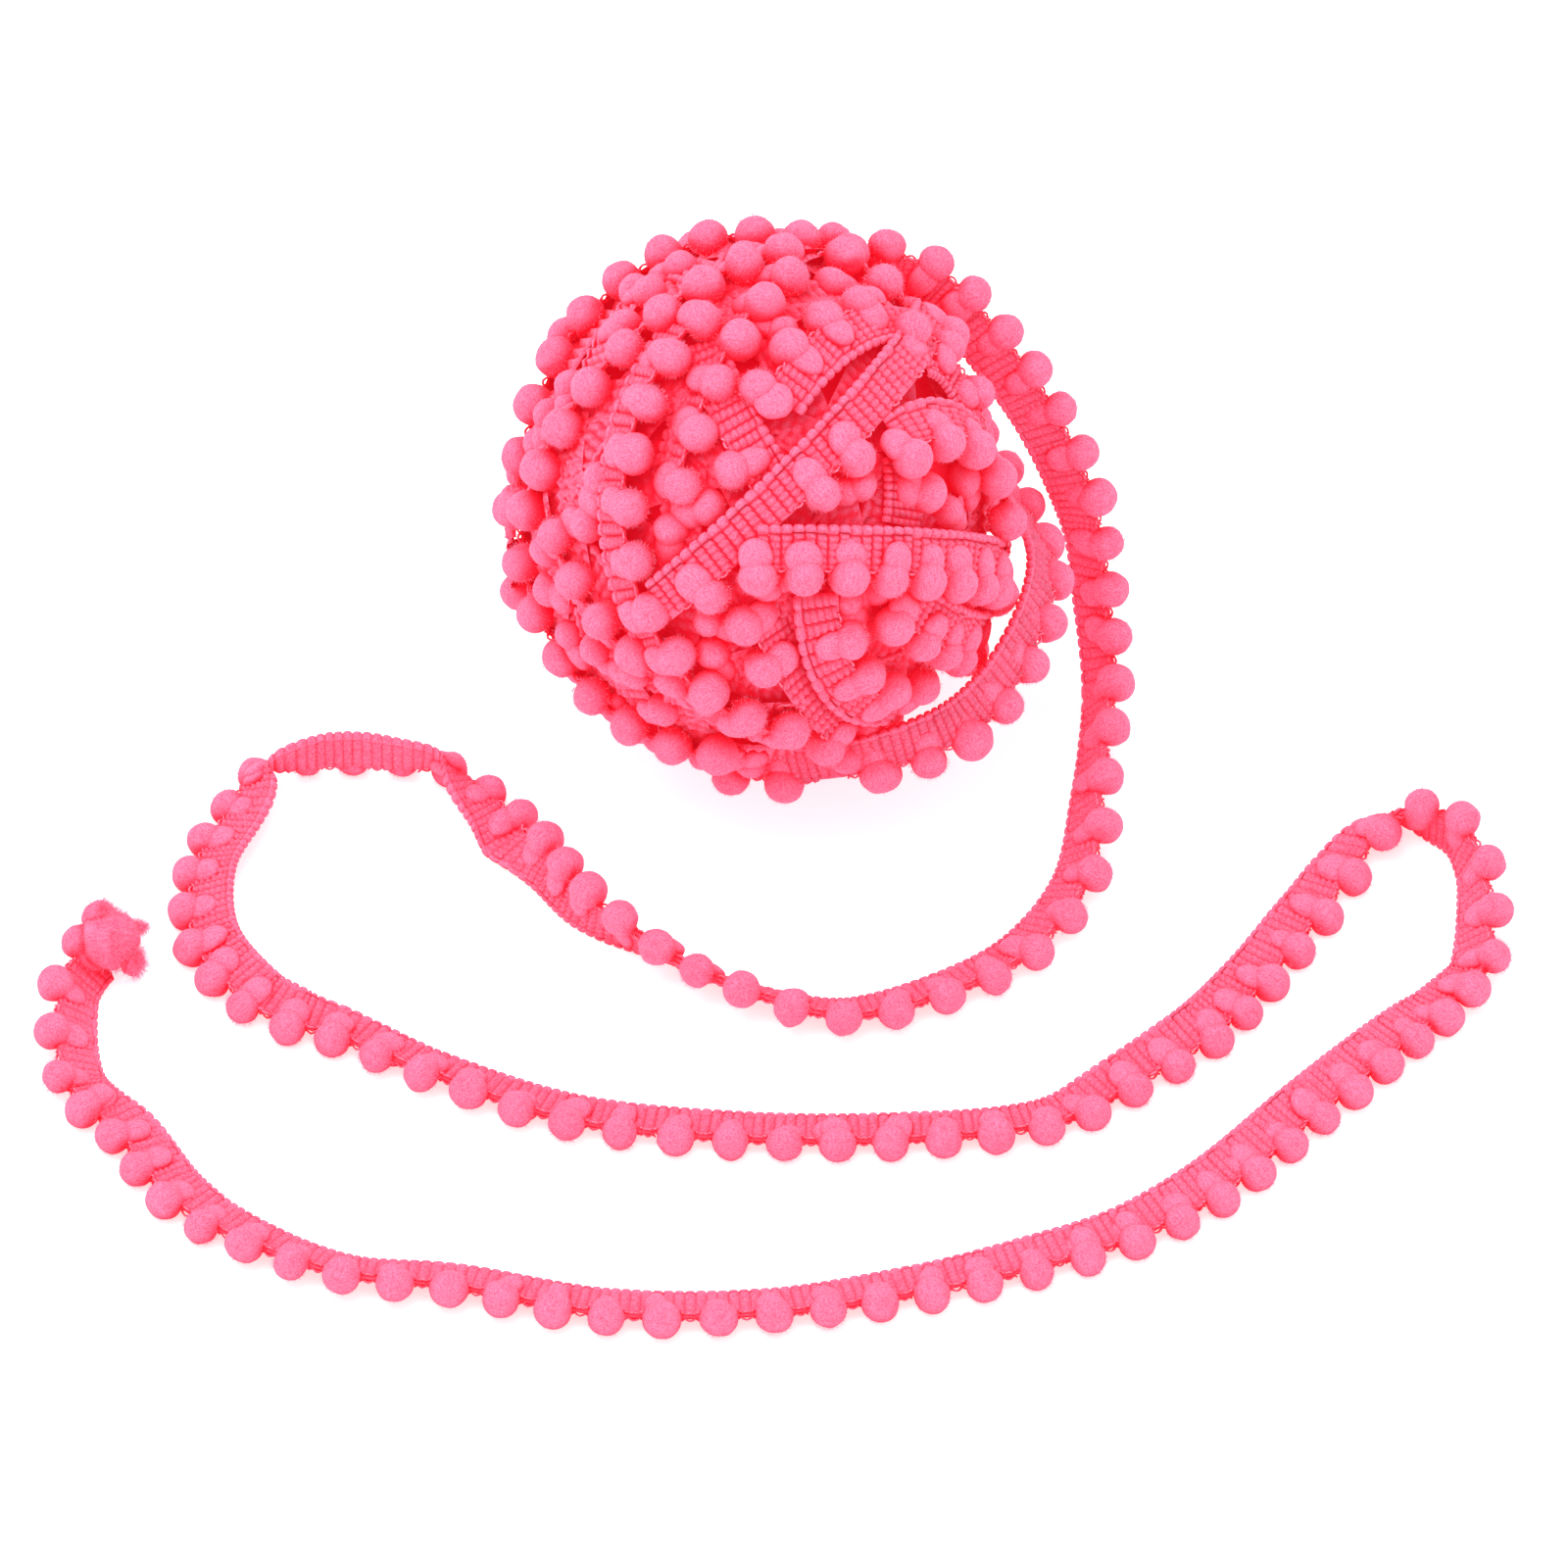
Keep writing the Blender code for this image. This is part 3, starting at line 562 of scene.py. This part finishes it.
def rib_numbers(low, high, knit):
    """Pompom numbers of the samples along the tape, with each one's rib and height within the rib."""
    first, last = math.floor(low * knit.ribs), math.ceil(high * knit.ribs)
    shares, heights = (np.array(column) for column in zip(*knit.samples))
    ribs = np.repeat(np.arange(first, last), len(shares))
    numbers = (ribs + np.tile(shares, last - first)) / knit.ribs
    inside = (numbers >= low) & (numbers <= high)
    return numbers[inside], ribs[inside] - first, np.tile(heights, last - first)[inside]


def across_samples(knit):
    """Places across the tape, heights there and a stitch's width: bead loops, then a rib's peaks and dips."""
    bead_place, bead_height = (np.array(column) for column in zip(*BEAD_SAMPLES))
    bead_place = bead_place * knit.bead_width
    width = (TAPE_WIDTH - knit.bead_width) / knit.stitches
    halves = np.arange(2 * knit.stitches)
    place = knit.bead_width + width * (halves + 1) / 2
    height = np.where(halves % 2 == 0, 1.0, 1.0 - knit.dip)
    return np.concatenate([bead_place, place]), np.concatenate([bead_height, height]), width


def add_tape(skin, strip, low, high, rng, knit, both_sides=False):
    """The knitted tape of a strip: bead loops along its outer edge, then cross ribs of stitches."""
    numbers, ribs, swell = rib_numbers(low, high, knit)
    place, raised, width = across_samples(knit)
    is_bead = place <= knit.bead_width * BEAD_SHARE
    is_edge = place > TAPE_WIDTH - SAME_PLACE
    stagger = rng.uniform(-STITCH_STAGGER, STITCH_STAGGER, ribs.max() + 1)[ribs] * width
    edge = place + np.where(is_bead | is_edge, 0.0, stagger[:, None])
    scallop = np.where(is_bead, BEAD_SCALLOP * np.clip(1.0 - place / knit.bead_width, 0.0, 1.0), 0.0)
    edge = edge + scallop * (1.0 - swell[:, None])
    top = np.where(is_bead, knit.bead_half, RIB_HALF_THICKNESS)
    bottom = np.where(is_bead, knit.notch_half, knit.groove_half)
    uneven = rng.normal(1.0, RIB_UNEVENNESS, (ribs.max() + 1, len(place)))[ribs]
    rise = raised * swell[:, None] * uneven
    # Painted shade: grooves, bead loops and the inner edge are painted darker red than the rib tops.
    depth = np.clip(np.where(is_bead, BEAD_PAINTED_LIGHT, knit.groove_light) + RISE_PAINTED_LIGHT * rise, 0.0, 1.0)
    depth[:, -1] = np.maximum(depth[:, -1], INNER_EDGE_PAINTED_LIGHT)
    at = np.repeat(numbers[:, None], len(place), axis=1)
    sides = (1, -1) if both_sides else (strip.outer_side,)
    sheets = []
    for side in sides:
        relief = RELIEF[side] if both_sides else 1.0
        half = bottom + (top - bottom) * (rise * relief + (1.0 - relief) * WORN_RISE)
        half[:, 0] = OUTER_EDGE_HALF_THICKNESS
        half[:, -1] = INNER_EDGE_HALF_THICKNESS
        points = strip.points(at, edge, side * half)
        fibres = np.stack([at * POMPOM_PITCH, edge, side * np.ones_like(at)], axis=-1)
        sheets.append((points, fibres, depth))
    if both_sides:
        points, fibres, painted_shades = (
            np.concatenate([sheets[0][item], sheets[1][item][:, ::-1]], axis=1) for item in range(3)
        )
        faces = grid_faces(*points.shape[:2], True)
        around = points.shape[1]
        caps = np.array([(0, i + 1, i) for i in range(1, around - 1)])
        end = (len(points) - 1) * around
        faces = np.concatenate([faces, caps, end + caps[:, ::-1]])
    else:
        points, fibres, painted_shades = sheets[0]
        faces = grid_faces(*points.shape[:2], False)
        if strip.outer_side > 0:
            faces = faces[:, ::-1]
    skin.add(points.reshape(-1, 3), faces, fibres.reshape(-1, 3), painted_shades.ravel())


# ---- pompoms ----


def round_mesh(subdivisions):
    """Points and triangles of an even ball of radius 1."""
    ball = bmesh.new()
    bmesh.ops.create_icosphere(ball, subdivisions=subdivisions, radius=1.0)
    points = np.array([v.co for v in ball.verts])
    faces = np.array([[v.index for v in face.verts] for face in ball.faces])
    ball.free()
    return points, faces


def lumps(directions, rng, kind):
    """Soft unevenness of a round thing, in shares of its radius."""
    total = np.zeros(len(directions))
    for _ in range(kind.waves):
        wave = unit(rng.normal(size=3)) * rng.uniform(*WAVE_FINENESS)
        total += np.cos(directions @ wave + rng.uniform(0, math.tau))
    return 1.0 + kind.height * total / math.sqrt(kind.waves)


class PompomKit:
    """Shapes that all pompoms share: points across, along and off the tape, from a pompom's middle."""

    def __init__(self, subdivisions, rng):
        directions, self.faces = round_mesh(subdivisions)
        self.directions = directions
        self.bodies = []
        for _ in range(VARIANTS):
            shape = directions * lumps(directions, rng, POMPOM_LUMPS)[:, None]
            back = np.clip(-shape[:, 0], 0.0, 1.0)
            shape[:, 1:] *= (1.0 - ROOT_DRAW_IN * back**ROOT_CURVE)[:, None]
            shape[:, 0] *= np.where(shape[:, 0] < 0, ROOT_REACH, TIP_REACH)
            self.bodies.append(shape)
        around = np.maximum(np.linalg.norm(directions[:, 1:], axis=1), FIBRE_LEAST_AROUND)
        streak = directions[:, 1:] / around[:, None] * FIBRE_TURNS
        self.fibres = np.column_stack([streak, directions[:, 0] * FIBRE_RUN])


def frame_matrix(strip, numbers):
    """Middles and 3 by 3 frames (across, ahead, face as rows) at pompom numbers."""
    middle, across, ahead, face = strip.frames(numbers)
    return middle, np.stack([across, ahead, face], axis=1)


def tilt_matrix(rng, spread):
    """A small random turn, as a 3 by 3 matrix."""
    a, b, c = rng.normal(0.0, spread, 3)
    turn = np.array(((1.0, -c, b), (c, 1.0, -a), (-b, a, 1.0)))
    return np.linalg.qr(turn)[0] * np.sign(np.diag(np.linalg.qr(turn)[1]))


def painted_lightness(towards_tip, depth):
    """Painted-shade depth values from how far towards the tip each point lies."""
    middle, gain = depth
    return np.clip(middle + gain * towards_tip, 0.0, 1.0)


def add_pompom(skins, kits, middle, axes, radius, rng, lobes):
    """One pompom: its ball, and the lobes of yarn that spread over the tape at its root."""
    kit, lobe_kit = kits
    grow = rng.uniform(*POMPOM_GROWTH)
    tilted = tilt_matrix(rng, POMPOM_TILT) @ axes
    shape = kit.bodies[rng.integers(VARIANTS)] * radius * grow * rng.uniform(*POMPOM_STRETCH, 3)
    if rng.random() < 0.5:
        shape = shape * (1.0, -1.0, 1.0)
        faces = kit.faces[:, ::-1]
    else:
        faces = kit.faces
    shift = rng.uniform(0.0, FIBRE_SHIFT, 3)
    # Painted light and shade: the pompom is painted lighter at its tip and darker red at its root by the
    # tape.
    depth = painted_lightness(kit.directions[:, 0], POMPOM_PAINTED_LIGHT)
    skins["pompoms"].add(middle + shape @ tilted, faces, kit.fibres + shift, depth)
    for side, lobe in lobes:
        size = np.array(lobe.half_sizes) * rng.uniform(*LOBE_GROWTH, 3)
        back = lobe.back * rng.uniform(*LOBE_BACK_SPREAD)
        root = np.array((-back, rng.normal(0.0, LOBE_ASIDE), side * LOBE_OFF))
        swell = lumps(lobe_kit.directions, rng, LOBE_LUMPS)[:, None]
        shape = lobe_kit.directions * swell * size + root
        fibres = lobe_kit.fibres + shift + LOBE_FIBRE_SHIFT
        # Painted shade: the lobe is painted darker towards its two ends across the tape.
        depth = painted_lightness(np.abs(lobe_kit.directions[:, 0]), LOBE_PAINTED_LIGHT)
        skins["lobes"].add(middle + shape @ tilted, lobe_kit.faces, fibres, depth)


def add_hairs(skin, middle, axes, radius, count, rng, lengths=HAIR_LENGTH):
    """Stray fibres standing off a pompom, each one a thin blade."""
    directions = unit(rng.normal(size=(count, 3)))
    directions[:, 0] = np.abs(directions[:, 0]) * np.where(rng.random(count) < HAIRS_IN_FRONT, 1, -1)
    normals = directions @ axes
    roots = middle + normals * radius * HAIR_ROOT
    lean = unit(normals + HAIR_LEAN * rng.normal(size=(count, 3)))
    length = rng.uniform(*lengths, count)[:, None]
    width = unit(np.cross(lean, rng.normal(size=(count, 3)))) * HAIR_WIDTH / 2
    tips = roots + lean * length
    points = np.stack([roots - width, roots + width, tips], axis=1).reshape(-1, 3)
    faces = np.arange(3 * count).reshape(-1, 3)
    fibres = np.repeat(rng.uniform(0.0, FIBRE_SHIFT, (count, 3)), 3, axis=0)
    skin.add(points, faces, fibres, np.ones(len(points)))


# ---- chain stitches between the pompoms ----


def add_thread(skin, path, radius, sides=4):
    """A tube of this radius along a path of points, open at its ends, which are sunk in the yarn."""
    ahead = unit(np.gradient(path, axis=0))
    helper = unit(np.cross(ahead, THREAD_HELPER))
    other = np.cross(ahead, helper)
    turns = np.linspace(0.0, math.tau, sides, endpoint=False)
    ring = np.cos(turns)[None, :, None] * helper[:, None] + np.sin(turns)[None, :, None] * other[:, None]
    points = path[:, None] + radius * ring
    faces = grid_faces(len(path), sides, True)
    fibres = np.repeat(path * THREAD_FIBRES, sides, axis=0)
    skin.add(points.reshape(-1, 3), faces, fibres, np.full(len(path) * sides, 1.0))


def add_stitch(skin, strip, number, rng, side):
    """The small crossed loops at the tape's inner edge, midway between two pompoms."""
    middle, across, ahead, face = (value[0] for value in strip.frames(np.array([number])))
    root = middle + (TAPE_WIDTH - STITCH_INSET - POMPOM_AT) * across
    size = rng.uniform(*STITCH_GROWTH)
    for sign in (1, -1):
        along = sign * STITCH_POINTS / STITCH_POINTS[-1] * STITCH_HALF_LENGTH * size
        bow = STITCH_BOW * np.cos(STITCH_POINTS * STITCH_BOW_WAVE) * size
        lift = STITCH_RISE_SPREAD * np.cos(STITCH_POINTS * STITCH_RISE_WAVE)
        rise = side * (STITCH_RISE + sign * lift)
        aside = bow[:, None] * across * sign * STITCH_CROSSING
        path = root + along[:, None] * ahead + aside + rise[:, None] * face
        add_thread(skin, path, STITCH_THREAD_RADIUS)


# ---------------------------------------------------------------- materials


def noise(tree, place, scale, detail, roughness):
    """The value of a noise texture at this place."""
    made = tree.nodes.new("ShaderNodeTexNoise")
    for name, value in (("Scale", scale), ("Detail", detail), ("Roughness", roughness)):
        made.inputs[name].default_value = value
    tree.links.new(place, made.inputs["Vector"])
    return made.outputs["Fac"]


def reckon(tree, operation, first, second=0.0, third=0.0):
    """The output of a math node with these sockets or numbers."""
    made = tree.nodes.new("ShaderNodeMath")
    made.operation = operation
    for socket, value in zip(made.inputs, (first, second, third)):
        if isinstance(value, bpy.types.NodeSocket):
            tree.links.new(value, socket)
        else:
            socket.default_value = value
    return made.outputs["Value"]


def ranged(tree, value, low, high):
    """The value as a share of the way from low to high, kept between 0 and 1."""
    made = tree.nodes.new("ShaderNodeMapRange")
    made.inputs["From Min"].default_value = low
    made.inputs["From Max"].default_value = high
    tree.links.new(value, made.inputs["Value"])
    return made.outputs["Result"]


def blend(tree, factor, first, second):
    """A mix of two colours, each a socket or a value."""
    made = tree.nodes.new("ShaderNodeMix")
    made.data_type = "RGBA"
    tree.links.new(factor, made.inputs["Factor"])
    for name, value in (("A", first), ("B", second)):
        if isinstance(value, bpy.types.NodeSocket):
            tree.links.new(value, made.inputs[name])
        else:
            made.inputs[name].default_value = value
    return made.outputs["Result"]


def point_value(tree, name):
    """The node that reads a mesh's attribute."""
    made = tree.nodes.new("ShaderNodeAttribute")
    made.attribute_name = name
    return made


def yarn_material(name, yarn):
    """Fluffy acrylic yarn: fine fibres in one direction, a little grain, redder in its depths by painted
    shade, with a faint painted red glow.
    """
    material = bpy.data.materials.new(name)
    material.use_nodes = True
    tree = material.node_tree
    shader = tree.nodes["Principled BSDF"]
    shader.inputs["Roughness"].default_value = YARN_ROUGHNESS
    shader.inputs["Specular IOR Level"].default_value = YARN_SPECULAR
    shader.inputs["Sheen Weight"].default_value = SHEEN
    shader.inputs["Sheen Roughness"].default_value = SHEEN_ROUGHNESS
    shader.inputs["Sheen Tint"].default_value = SHEEN_TINT
    # Painted glow: the yarn glows a little red, standing in for light scattered into its shade.
    shader.inputs["Emission Color"].default_value = PAINTED_SHADE_RED
    shader.inputs["Emission Strength"].default_value = PAINTED_RED_GLOW
    fibre = point_value(tree, "fibre").outputs["Vector"]
    streaks = noise(tree, fibre, yarn.streak_scale, *STREAK_NOISE)
    place = tree.nodes.new("ShaderNodeTexCoord")
    grain = noise(tree, place.outputs["Object"], yarn.grain_scale, *GRAIN_NOISE)
    fluff = reckon(tree, "MULTIPLY_ADD", streaks, yarn.streak_share, grain)
    middle = 0.5 + 0.5 * yarn.streak_share
    # Painted shade: the depth value, lowered further where ambient occlusion finds near surfaces, paints
    # crevices deep red.
    depth = ranged(tree, point_value(tree, "depth").outputs["Fac"], 0.0, UNSHADED_DEPTH)
    occlusion = tree.nodes.new("ShaderNodeAmbientOcclusion")
    occlusion.samples = PAINTED_SHADE_RAYS
    occlusion.inputs["Distance"].default_value = PAINTED_SHADE_REACH
    depth = reckon(tree, "MULTIPLY", depth, ranged(tree, occlusion.outputs["AO"], *PAINTED_SHADE_OPENNESS))
    low, high = middle + PINK_RANGE[0], middle + PINK_RANGE[1]
    pinks = blend(tree, ranged(tree, fluff, low, high), MID_PINK, yarn.light)
    # Painted shade: the base colour goes to the painted shade red where the depth value is low.
    tree.links.new(blend(tree, depth, PAINTED_SHADE_RED, pinks), shader.inputs["Base Color"])
    bumps = tree.nodes.new("ShaderNodeBump")
    bumps.inputs["Strength"].default_value = yarn.bump
    bumps.inputs["Distance"].default_value = BUMP_HEIGHT
    tree.links.new(fluff, bumps.inputs["Height"])
    tree.links.new(bumps.outputs["Normal"], shader.inputs["Normal"])
    return material


def plain_material(name, colour, roughness, glow):
    """One matt colour, lit a little from within."""
    material = bpy.data.materials.new(name)
    material.use_nodes = True
    shader = material.node_tree.nodes["Principled BSDF"]
    shader.inputs["Base Color"].default_value = colour
    shader.inputs["Roughness"].default_value = roughness
    shader.inputs["Emission Color"].default_value = colour
    shader.inputs["Emission Strength"].default_value = glow
    return material


# ---------------------------------------------------------------- the object


def nearest(points, middle):
    """Distance from a middle to the nearest of the points."""
    return np.linalg.norm(np.array(points) - middle, axis=1).min() if len(points) else math.inf


def tape_middles(strip):
    """Points along a strip's tape, for finding the pompoms that it covers."""
    at = np.arange(0.0, strip.numbers[-1], TAPE_WATCH_STEP)
    lines = [strip.points(at, np.full(len(at), share * TAPE_WIDTH), 0.0 * at) for share in TAPE_WATCH]
    return np.concatenate(lines)


def spread(middles, least, kept, covers):
    """Indices of the middles that stand clear of the covers, of those kept so far and of each other."""
    chosen = []
    for index, middle in enumerate(middles):
        clear = nearest(kept, middle) > least and nearest(covers, middle) > TAPE_CLEARANCE
        if clear and middle[2] > LEAST_HEIGHT:
            kept.append(middle)
            chosen.append(index)
    return chosen


def add_row(skins, strip, numbers, kits, radius, rng, kept, least, lobes, hairs, swing=0.0, covers=()):
    """The pompoms of a strip, with their stray fibres."""
    middles, axes = frame_matrix(strip, numbers)
    middles = middles + np.reshape(swing, (-1, 1)) * axes[:, 2]
    shifts = np.broadcast_to(swing, len(middles))
    for index in spread(middles, least, kept, covers):
        shown = () if shifts[index] else lobes
        add_pompom(skins, kits, middles[index], axes[index], radius, rng, shown)
        add_hairs(skins["hairs"], middles[index], axes[index], radius, hairs, rng)


def ball_core(rng):
    """What shows between the deepest turns, painted all in the red of shade."""
    core = Skin()
    directions, faces = round_mesh(5)
    bumpy = CORE_RADIUS * lumps(directions * CORE_WRINKLES, rng, CORE_LUMPS)[:, None]
    shape = directions * bumpy * (BALL_SQUEEZE, 1.0, 1.0)
    # Depth 0 everywhere: the core is painted wholly in shade.
    core.add(BALL_CENTRE + shape, faces, directions * FIBRE_SHIFT, np.full(len(shape), 0.0))
    return core


def wound_ball(yarns, rng):
    """Every turn of the ball: its tapes, pompoms, stray fibres and stitches."""
    smooth, plain, rough = (PompomKit(level, rng) for level in (4, 3, 2))
    fine, coarse = (smooth, plain), (plain, rough)
    tapes, fills, stitches = Skin(), Skin(), Skin()
    front = {"pompoms": Skin(), "lobes": Skin(), "hairs": Skin()}
    far = {"pompoms": Skin(), "lobes": Skin(), "hairs": front["hairs"]}
    kept = []
    size, hairs = WOUND_POMPOM_RADIUS, HAIRS_PER_POMPOM

    # The listed turns of both sides. A turn's pompoms stay clear of the flat tapes that lie over it.
    layouts = [(turn, False) for turn in TURNS]
    layouts += [(turn, True) for turn in TURNS if turn.name in FAR_TURNS]
    strips = [turn_strip(turn, is_far) for turn, is_far in layouts]
    laid = [(turn, strip) for (turn, _), strip in zip(layouts, strips) if turn.tip < UPRIGHT_TIP]
    flat_tapes = [(turn.radius, tape_middles(strip)) for turn, strip in laid]
    for (turn, is_far), strip in zip(layouts, strips):
        last = strip.numbers[-1]
        above = [points for radius, points in flat_tapes if radius > turn.radius]
        covers = np.concatenate(above) if above else ()
        add_tape(tapes, strip, 0.0, last, rng, WOUND_KNIT)
        skins, kits = (far, coarse) if is_far else (front, fine)
        numbers = np.arange(0, last + 0.5)
        lobes = ((strip.outer_side, WOUND_LOBE),)
        add_row(skins, strip, numbers, kits, size, rng, kept, LEAST_APART, lobes, hairs, 0.0, covers)
        for number in np.arange(0.5, last):
            add_stitch(stitches, strip, number, rng, strip.outer_side)

    # The slack turn.
    slack = table_strip(SLACK_TURN, -1)
    add_tape(tapes, slack, SLACK_START, SLACK_END, rng, LOOSE_KNIT, True)
    numbers = np.arange(SLACK_LAST_POMPOM + 1)
    lobes = ((1, LOOSE_LOBE),)
    add_row(front, slack, numbers, fine, size, rng, kept, LEAST_APART, lobes, hairs)
    for number in numbers[:-1] + 0.5:
        add_stitch(stitches, slack, number, rng, -1)

    # The deeper turns that show between them.
    covers = np.concatenate([points for _, points in flat_tapes])
    size, hairs = POMPOM_RADIUS, FILL_HAIRS_PER_POMPOM
    for strip in fill_strips():
        last = strip.numbers[-1]
        add_tape(fills, strip, 0.0, last, rng, DEEP_KNIT)
        numbers = np.arange(0, last)
        lobes = ((strip.outer_side, WOUND_LOBE),)
        add_row(far, strip, numbers, coarse, size, rng, kept, FILL_LEAST_APART, lobes, hairs, 0.0, covers)

    return [
        ball_core(rng).build("wound_core", yarns.pompom),
        tapes.build("wound_tape", yarns.tape),
        fills.build("deep_tape", yarns.tape),
        front["pompoms"].build("wound_pompoms", yarns.pompom),
        front["lobes"].build("wound_lobes", yarns.pompom),
        far["pompoms"].build("far_and_deep_pompoms", yarns.pompom),
        far["lobes"].build("far_and_deep_lobes", yarns.pompom),
        front["hairs"].build("wound_fibres", yarns.stray),
        stitches.build("wound_stitches", yarns.chain),
    ]


def cut_end(skins, strip, kit, rng):
    """The ragged tuft of the cut end: clumps of frayed yarn and their loose fibres."""
    last = strip.frames(np.array([float(LAST_POMPOM)]))[0][0]
    whole = sum(clump.half_sizes[0] for clump in TUFT_CLUMPS)
    for clump in TUFT_CLUMPS:
        place = last + (clump.right, clump.back, clump.up)
        sizes = clump.half_sizes
        shape = kit.directions * lumps(kit.directions, rng, TUFT_LUMPS)[:, None] * sizes
        # Painted light: each clump is painted lighter on top and darker underneath, as if lit from above.
        depth = painted_lightness(kit.directions[:, 2], TUFT_PAINTED_LIGHT)
        fibres = kit.fibres + rng.uniform(0.0, FIBRE_SHIFT, 3)
        skins["pompoms"].add(place + shape, kit.faces, fibres, depth)
        hairs = round(TUFT_HAIRS * sizes[0] / whole)
        axes = np.diag(np.array(sizes) / max(sizes))
        add_hairs(skins["hairs"], place, axes, max(sizes), hairs, rng, TUFT_HAIR_LENGTH)


def loose_end(yarns, rng):
    """The loose end's tape, pompoms, stray fibres, stitches and cut end, and its length."""
    strip = table_strip(TAIL, 1)
    smooth, plain = PompomKit(4, rng), PompomKit(3, rng)
    tape, stitches = Skin(), Skin()
    skins = {"pompoms": Skin(), "lobes": Skin(), "hairs": Skin()}
    add_tape(tape, strip, TAIL_START, TAIL_END, rng, LOOSE_KNIT, True)
    numbers = np.arange(TAIL_START, LAST_POMPOM + 1)
    swing = SWING * np.where((numbers > SWING_FROM) & (numbers < SWING_TO), 1.0, 0.0)
    lobes = ((-1, LOOSE_LOBE), (1, LOOSE_LOBE))
    kits, hairs = (smooth, plain), HAIRS_PER_POMPOM
    add_row(skins, strip, numbers, kits, POMPOM_RADIUS, rng, [], 0.0, lobes, hairs, swing)
    cut_end(skins, strip, smooth, rng)
    for number in numbers[:-1] + 0.5:
        add_stitch(stitches, strip, number, rng, 1)
        add_stitch(stitches, strip, number, rng, -1)
    made = [
        tape.build("loose_tape", yarns.tape),
        skins["pompoms"].build("loose_pompoms", yarns.pompom),
        skins["lobes"].build("loose_lobes", yarns.pompom),
        skins["hairs"].build("loose_fibres", yarns.stray),
        stitches.build("loose_stitches", yarns.chain),
    ]
    return made, strip.length(TAIL_START, TAIL_END)


# ---------------------------------------------------------------- stage


def make_floor():
    """The white table, which is only there for the picture."""
    mesh = bpy.data.meshes.new("floor")
    half = FLOOR_HALF_WIDTH
    corners = [(-half, -half, 0.0), (half, -half, 0.0), (half, half, 0.0), (-half, half, 0.0)]
    mesh.from_pydata(corners, [], [(0, 1, 2, 3)])
    mesh.materials.append(plain_material("floor_white", FLOOR_WHITE, FLOOR_ROUGHNESS, FLOOR_GLOW))
    floor = bpy.data.objects.new("floor", mesh)
    bpy.context.scene.collection.objects.link(floor)


def area_light(name, place, size, power):
    """A square soft light at this place, turned to the object."""
    light = bpy.data.lights.new(name, "AREA")
    light.size = size
    light.energy = power
    obj = bpy.data.objects.new(name, light)
    obj.location = place
    obj.rotation_mode = "QUATERNION"
    obj.rotation_quaternion = (-Vector(place)).to_track_quat("-Z", "Y")
    bpy.context.scene.collection.objects.link(obj)


def make_camera():
    """The camera, high in front of the object."""
    camera = bpy.data.cameras.new("camera")
    camera.sensor_width = SENSOR_WIDTH
    camera.lens = SENSOR_WIDTH * CAMERA_DISTANCE / (VIEW_WIDTH * MM)
    camera.clip_start = CAMERA_NEAR
    camera.clip_end = CAMERA_FAR
    obj = bpy.data.objects.new("camera", camera)
    back = Vector((0.0, -math.cos(CAMERA_ELEVATION), math.sin(CAMERA_ELEVATION)))
    obj.location = VIEW_CENTRE + back * CAMERA_DISTANCE
    obj.rotation_mode = "QUATERNION"
    obj.rotation_quaternion = (-back).to_track_quat("-Z", "Y")
    bpy.context.scene.collection.objects.link(obj)
    bpy.context.scene.camera = obj


def light_the_stage():
    """Soft white light from all round, and one softbox above."""
    world = bpy.data.worlds.new("studio")
    world.use_nodes = True
    world.node_tree.nodes["Background"].inputs["Color"].default_value = (1.0, 1.0, 1.0, 1.0)
    world.node_tree.nodes["Background"].inputs["Strength"].default_value = STUDIO_LIGHT
    bpy.context.scene.world = world
    area_light("key", KEY_PLACE, KEY_SIZE, KEY_POWER)
    bpy.context.scene.view_settings.view_transform = "Standard"


def main():
    rng = np.random.default_rng(SEED)
    yarns = Yarns(
        stray=plain_material("stray_yarn", LIGHT_PINK, YARN_ROUGHNESS, STRAY_PAINTED_GLOW),
        pompom=yarn_material("pompom_yarn", POMPOM_YARN),
        tape=yarn_material("tape_yarn", TAPE_YARN),
        chain=yarn_material("chain_yarn", CHAIN_YARN),
    )
    ball = wound_ball(yarns, rng)
    tail, length = loose_end(yarns, rng)
    for piece in [*ball, *tail]:
        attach(piece, "root")
    for piece in ball:
        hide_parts("wound_ball")
    rows = sorted(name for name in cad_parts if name.startswith("tail_pompoms"))
    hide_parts("tail_tape")
    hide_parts(*rows, "cut_end_tuft")
    make_floor()
    light_the_stage()
    make_camera()


main()
